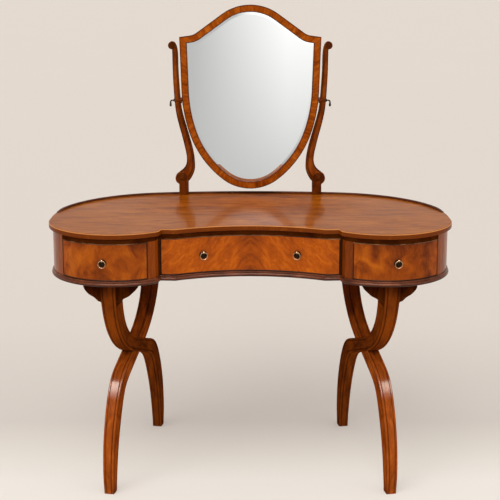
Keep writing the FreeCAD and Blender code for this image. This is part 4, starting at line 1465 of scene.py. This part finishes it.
pulls = {
    "height": 686,
    "sideX": 400,
    "bayX": 131,
    "plateDrop": 8,
    "plateRadius": 11,
    # radius and place along the axis, towards the drawer
    "plate": [
        (0, -3.6), (2.6, -3.55), (3.6, -3.2), (4.2, -2.5), (5.2, -2.2), (6, -2.15), (6.4, -1.7),
        (7.4, -1.35), (8.6, -1.3), (9.3, -1.55), (10, -1.65), (10.6, -1.45), (11, -0.9), (11, -0.02),
        (0, -0.02),
    ],
    "eye": [
        (0, -11.7), (1.6, -11.3), (2.9, -10.2), (3.55, -8.8), (3.5, -7.2), (2.8, -5.7), (1.9, -4.9),
        (1.7, -4.2), (2.2, -3.4), (2.2, 0), (1.8, 0), (1.8, 24), (0, 24),
    ],
    "plateSteps": 48,
    "eyeSteps": 28,
    "eyeDepth": 8.1,
    "ringRadius": 10,
    "wireRadius": 1.1,
    "ringSteps": 48,
    "wireSteps": 14,
}


# Each pull's name, the bodies of its plate and its ring, its place and its turn on the curved front
def pullPlaces():
    lobe = plan["lobeRadius"] - plan["overhang"]
    reach = pulls["sideX"] - lobeCentre.x
    sideY = lobeCentre.y - math.sqrt(lobe**2 - reach**2)
    sideTurn = math.asin(reach / lobe)
    bay = bayRadius + plan["overhang"]
    sunk = pulls["plateRadius"] ** 2 / (2 * bayRadius)
    bayY = bayCentre.y + math.sqrt(bay**2 - pulls["bayX"] ** 2) - sunk
    bayTurn = math.asin(pulls["bayX"] / bay)
    return (
        ("left_drawer", "left_drawer", "left_ring", -pulls["sideX"], sideY, -sideTurn),
        ("bay_drawer_left", "bay_drawer", "bay_left_ring", -pulls["bayX"], bayY, bayTurn),
        ("bay_drawer_right", "bay_drawer", "bay_right_ring", pulls["bayX"], bayY, -bayTurn),
        ("right_drawer", "right_drawer", "right_ring", pulls["sideX"], sideY, sideTurn),
    )


def ringLoft():
    radius, wire = pulls["ringRadius"], pulls["wireRadius"]
    rings = []
    for around in roundAngles(pulls["ringSteps"]):
        ring = []
        for turn in roundAngles(pulls["wireSteps"]):
            reach = radius + wire * math.cos(turn)
            ring.append((reach * math.cos(around), wire * math.sin(turn), reach * math.sin(around)))
        rings.append(ring)
    return lofted(rings, endless=True)


for name, drawer, ringBody, x, y, turn in pullPlaces():
    seat = Matrix.Translation((x, y, pulls["height"])) @ Matrix.Rotation(turn, 4, "Z")
    shape = Shape()
    plateSeat = seat @ Matrix.Translation((0, 0, -pulls["plateDrop"]))
    shape.add(*turned(pulls["plate"], pulls["plateSteps"]), plateSeat)
    shape.add(*turned(pulls["eye"], pulls["eyeSteps"]), seat, finish=1)
    piece = shape.piece(name + "_pull_turned", finishes["plate_brass"], finishes["brass"])
    settle(piece, drawer, "brass", name + "_pull")
    hanging = seat @ Matrix.Translation((0, -pulls["eyeDepth"], -pulls["ringRadius"]))
    ring = Shape().add(*ringLoft(), hanging)
    settle(ring.piece(name + "_ring_wire", finishes["brass"]), ringBody, "brass", name + "_ring")


# Thumbscrews that hold the mirror's tilt

thumb = {
    "overall": 15.4,
    "shank": 3,
    "shankTip": (2.6, 0.4),  # radius of the tip and length of its taper
    "overlap": 0.2,
    # radius and place along the axis, outwards from the collar's inner face
    "collar": [
        (0, 0), (5.2, 0), (5.5, 0.4), (5.5, 1.2), (4.9, 1.7), (3.6, 2.1), (2.9, 2.6), (2.1, 3), (0, 3),
    ],
    # along the axis, down, and radius of the bent neck and its drop
    "neck": [
        (2, 0, 2.3), (4.5, 0, 2.3), (7.2, 0.1, 2.3), (9.6, 0.9, 2.3), (11.3, 2.6, 2.3), (12, 4.6, 2.3),
        (12, 6.4, 2.4), (12, 8.5, 2.7), (12, 11, 3.1), (12, 13.5, 3.4), (12, 15.6, 3.4), (12, 17.4, 3.1),
        (12, 18.7, 2.2), (12, 19.3, 1.1), (12, 19.4, 0.2),
    ],
    "shankSteps": 28,
    "collarSteps": 36,
    "neckSteps": 16,
}


def neckRings(collarX):
    neck = thumb["neck"]
    side = Vector((0, 1, 0))
    rings = []
    for before, (along, drop, radius), after in zip(neck[:1] + neck, neck, neck[1:] + neck[-1:]):
        heading = Vector((after[0] - before[0], 0, before[1] - after[1])).normalized()
        raised = heading.cross(side)
        centre = Vector((collarX + along, posts["y"], mirrorFrame["pivotHeight"] - drop))
        turns = roundAngles(thumb["neckSteps"])
        rings.append([centre + (side * math.cos(a) + raised * math.sin(a)) * radius for a in turns])
    return rings


def thumbShape():
    low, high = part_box("right_thumbscrew")
    collarX = high.x / mm - thumb["overall"]
    tip = low.x / mm - collarX
    tipRadius, taper = thumb["shankTip"]
    place = Matrix.Translation((collarX, posts["y"], mirrorFrame["pivotHeight"]))
    axis = place @ Matrix.Rotation(math.radians(-90), 4, "Z")
    shank = [(0, tip), (tipRadius, tip), (thumb["shank"], tip + taper), (thumb["shank"], thumb["overlap"])]
    shank += [(0, thumb["overlap"])]
    shape = Shape()
    shape.add(*turned(shank, thumb["shankSteps"]), axis)
    shape.add(*turned(thumb["collar"], thumb["collarSteps"]), axis)
    return shape.add(*lofted(neckRings(collarX)))


screw = thumbShape()
for hand, own in (("right", screw), ("left", screw.mirrored())):
    piece = own.piece(hand + "_thumb_drop", finishes["dark_metal"])
    settle(piece, hand + "_screw", "brass", hand + "_thumbscrew")
print("pulls and thumbscrews made")


# Floor, light and camera

studio = {
    # painted light and shade on the floor from the front backwards, between floorStart and floorEnd:
    # lighter at the front, with a band of painted shade behind
    "floorLightAndShade": [
        (0.02, (0.88, 0.83, 0.77)), (0.15, (0.8, 0.745, 0.68)), (0.3, (0.69, 0.632, 0.58)),
        (0.55, (0.7, 0.643, 0.59)), (0.95, (0.733, 0.672, 0.616)),
    ],
    "floorStart": -0.2,
    "floorEnd": 1.4,
    "floorGlow": 0.42,
    "floorRoughness": 0.9,
    "floorSpecular": 0.1,
    "floorReach": 60,
    "cloudColour": (0.5, 0.45, 0.4),
    "cloudDepth": 0.05,
    "cloudSize": 1.8,
    "skyColour": (0.78, 0.71, 0.63),
    "worldLight": (0.6, 0.57, 0.54),
    # name, strength, spread of the light and turn of the lamp in degrees
    "lamps": [
        ("key_lamp", 1.4, 50, (38, 0, -28)),
        ("fill_lamp", 0.5, 70, (50, 0, 40)),
    ],
    "glint": ("glint_lamp", 4.8, 50, (20, 0, 0)),  # lights only the polish
    "glintColour": (1, 0.86, 0.7),
    "cardPlace": (0, -3.9, 1.3),
    "cardHalf": (2.2, 1.3),
    "cardLevel": 0.54,
    "cardSlope": 0.45,
    "cardDrop": 0.078,
    "cardTurn": (-0.38, 0.24),  # the slope sets in between these places across
    "cardTint": (1, 0.992, 0.97),
}


def flatPiece(name, corners, material):
    mesh = bpy.data.meshes.new(name)
    mesh.from_pydata(corners, [], [tuple(range(len(corners)))])
    mesh.materials.append(material)
    piece = linked(name, mesh)
    return piece


def floorFinish():
    sheet = Sheet("studio_floor")
    place = sheet.place()
    x, y, z = sheet.axes(place)
    depth = sheet.spread(y, studio["floorStart"], studio["floorEnd"])
    tones = sheet.node("ShaderNodeValToRGB", {"stops": studio["floorLightAndShade"]}, {0: depth})
    cloud = studio["cloudDepth"] * sheet.noise(place, studio["cloudSize"])
    colour = sheet.mix(cloud, tones, studio["cloudColour"])
    share = 1 - studio["floorGlow"]
    inputs = {
        "Base Color": sheet.mix(1.0, colour, (share, share, share), "MULTIPLY"),
        "Emission Color": colour,
        "Emission Strength": studio["floorGlow"],
        "Roughness": studio["floorRoughness"],
        "Specular IOR Level": studio["floorSpecular"],
    }
    return sheet.surface(inputs)


# Pale card behind the camera that only reflections see, so that the mirror has something to show.
# It is even at the left, and towards the right its lower part is darker and its upper part lighter.
def cardFinish():
    sheet = Sheet("reflection_card")
    x, y, z = sheet.axes(sheet.place())
    slope = studio["cardSlope"] * z - studio["cardDrop"]
    level = studio["cardLevel"] + slope * sheet.spread(x, *studio["cardTurn"])
    red, green, blue = studio["cardTint"]
    glow = {"Color": sheet.joined(red * level, green * level, blue * level), "Strength": 1.0}
    sheet.node("ShaderNodeOutputMaterial", None, {"Surface": sheet.node("ShaderNodeEmission", None, glow)})
    return sheet.material


def makeStudio():
    reach = studio["floorReach"]
    around = ((-1, -1), (1, -1), (1, 1), (-1, 1))
    flatPiece("studio_floor", [(a * reach, b * reach, 0) for a, b in around], floorFinish())
    x, y, z = studio["cardPlace"]
    halfX, halfZ = studio["cardHalf"]
    corners = [(x + b * halfX, y, z + a * halfZ) for a, b in around]
    card = flatPiece("reflection_card", corners, cardFinish())
    card.visible_camera = False
    card.visible_diffuse = False
    card.visible_shadow = False
    for name, power, spread, turn in [*studio["lamps"], studio["glint"]]:
        lamp = bpy.data.lights.new(name, "SUN")
        lamp.energy = power
        lamp.angle = math.radians(spread)
        holder = bpy.data.objects.new(name, lamp)
        holder.rotation_euler = [math.radians(angle) for angle in turn]
        if name == studio["glint"][0]:
            lamp.color = studio["glintColour"]
            holder.visible_diffuse = False
        bpy.context.scene.collection.objects.link(holder)
    world = bpy.data.worlds.new("studio")
    world.use_nodes = True
    world.node_tree.nodes.clear()
    graph = Graph(world.node_tree)
    ray = graph.node("ShaderNodeLightPath", output="Is Camera Ray")
    seen = ray + graph.output(ray, "Is Glossy Ray") + graph.output(ray, "Is Transmission Ray")
    colour = graph.mix(seen, studio["worldLight"], studio["skyColour"])
    light = graph.node("ShaderNodeBackground", None, {"Color": colour, "Strength": 1.0})
    graph.node("ShaderNodeOutputWorld", None, {"Surface": light})
    bpy.context.scene.world = world


camera = {
    "place": (0, -3.4307, 1.4814),
    "tilt": 78.5,
    "lens": 86.4,
    "sensor": 36,
    "shiftX": -0.0006,
    "shiftY": -0.0917,
}


def makeCamera():
    lens = bpy.data.cameras.new("camera")
    lens.sensor_width = camera["sensor"]
    lens.lens = camera["lens"]
    lens.shift_x = camera["shiftX"]
    lens.shift_y = camera["shiftY"]
    holder = bpy.data.objects.new("camera", lens)
    holder.location = camera["place"]
    holder.rotation_euler = (math.radians(camera["tilt"]), 0, 0)
    bpy.context.scene.collection.objects.link(holder)
    bpy.context.scene.camera = holder


makeStudio()
makeCamera()
bpy.context.scene.view_settings.view_transform = "Standard"
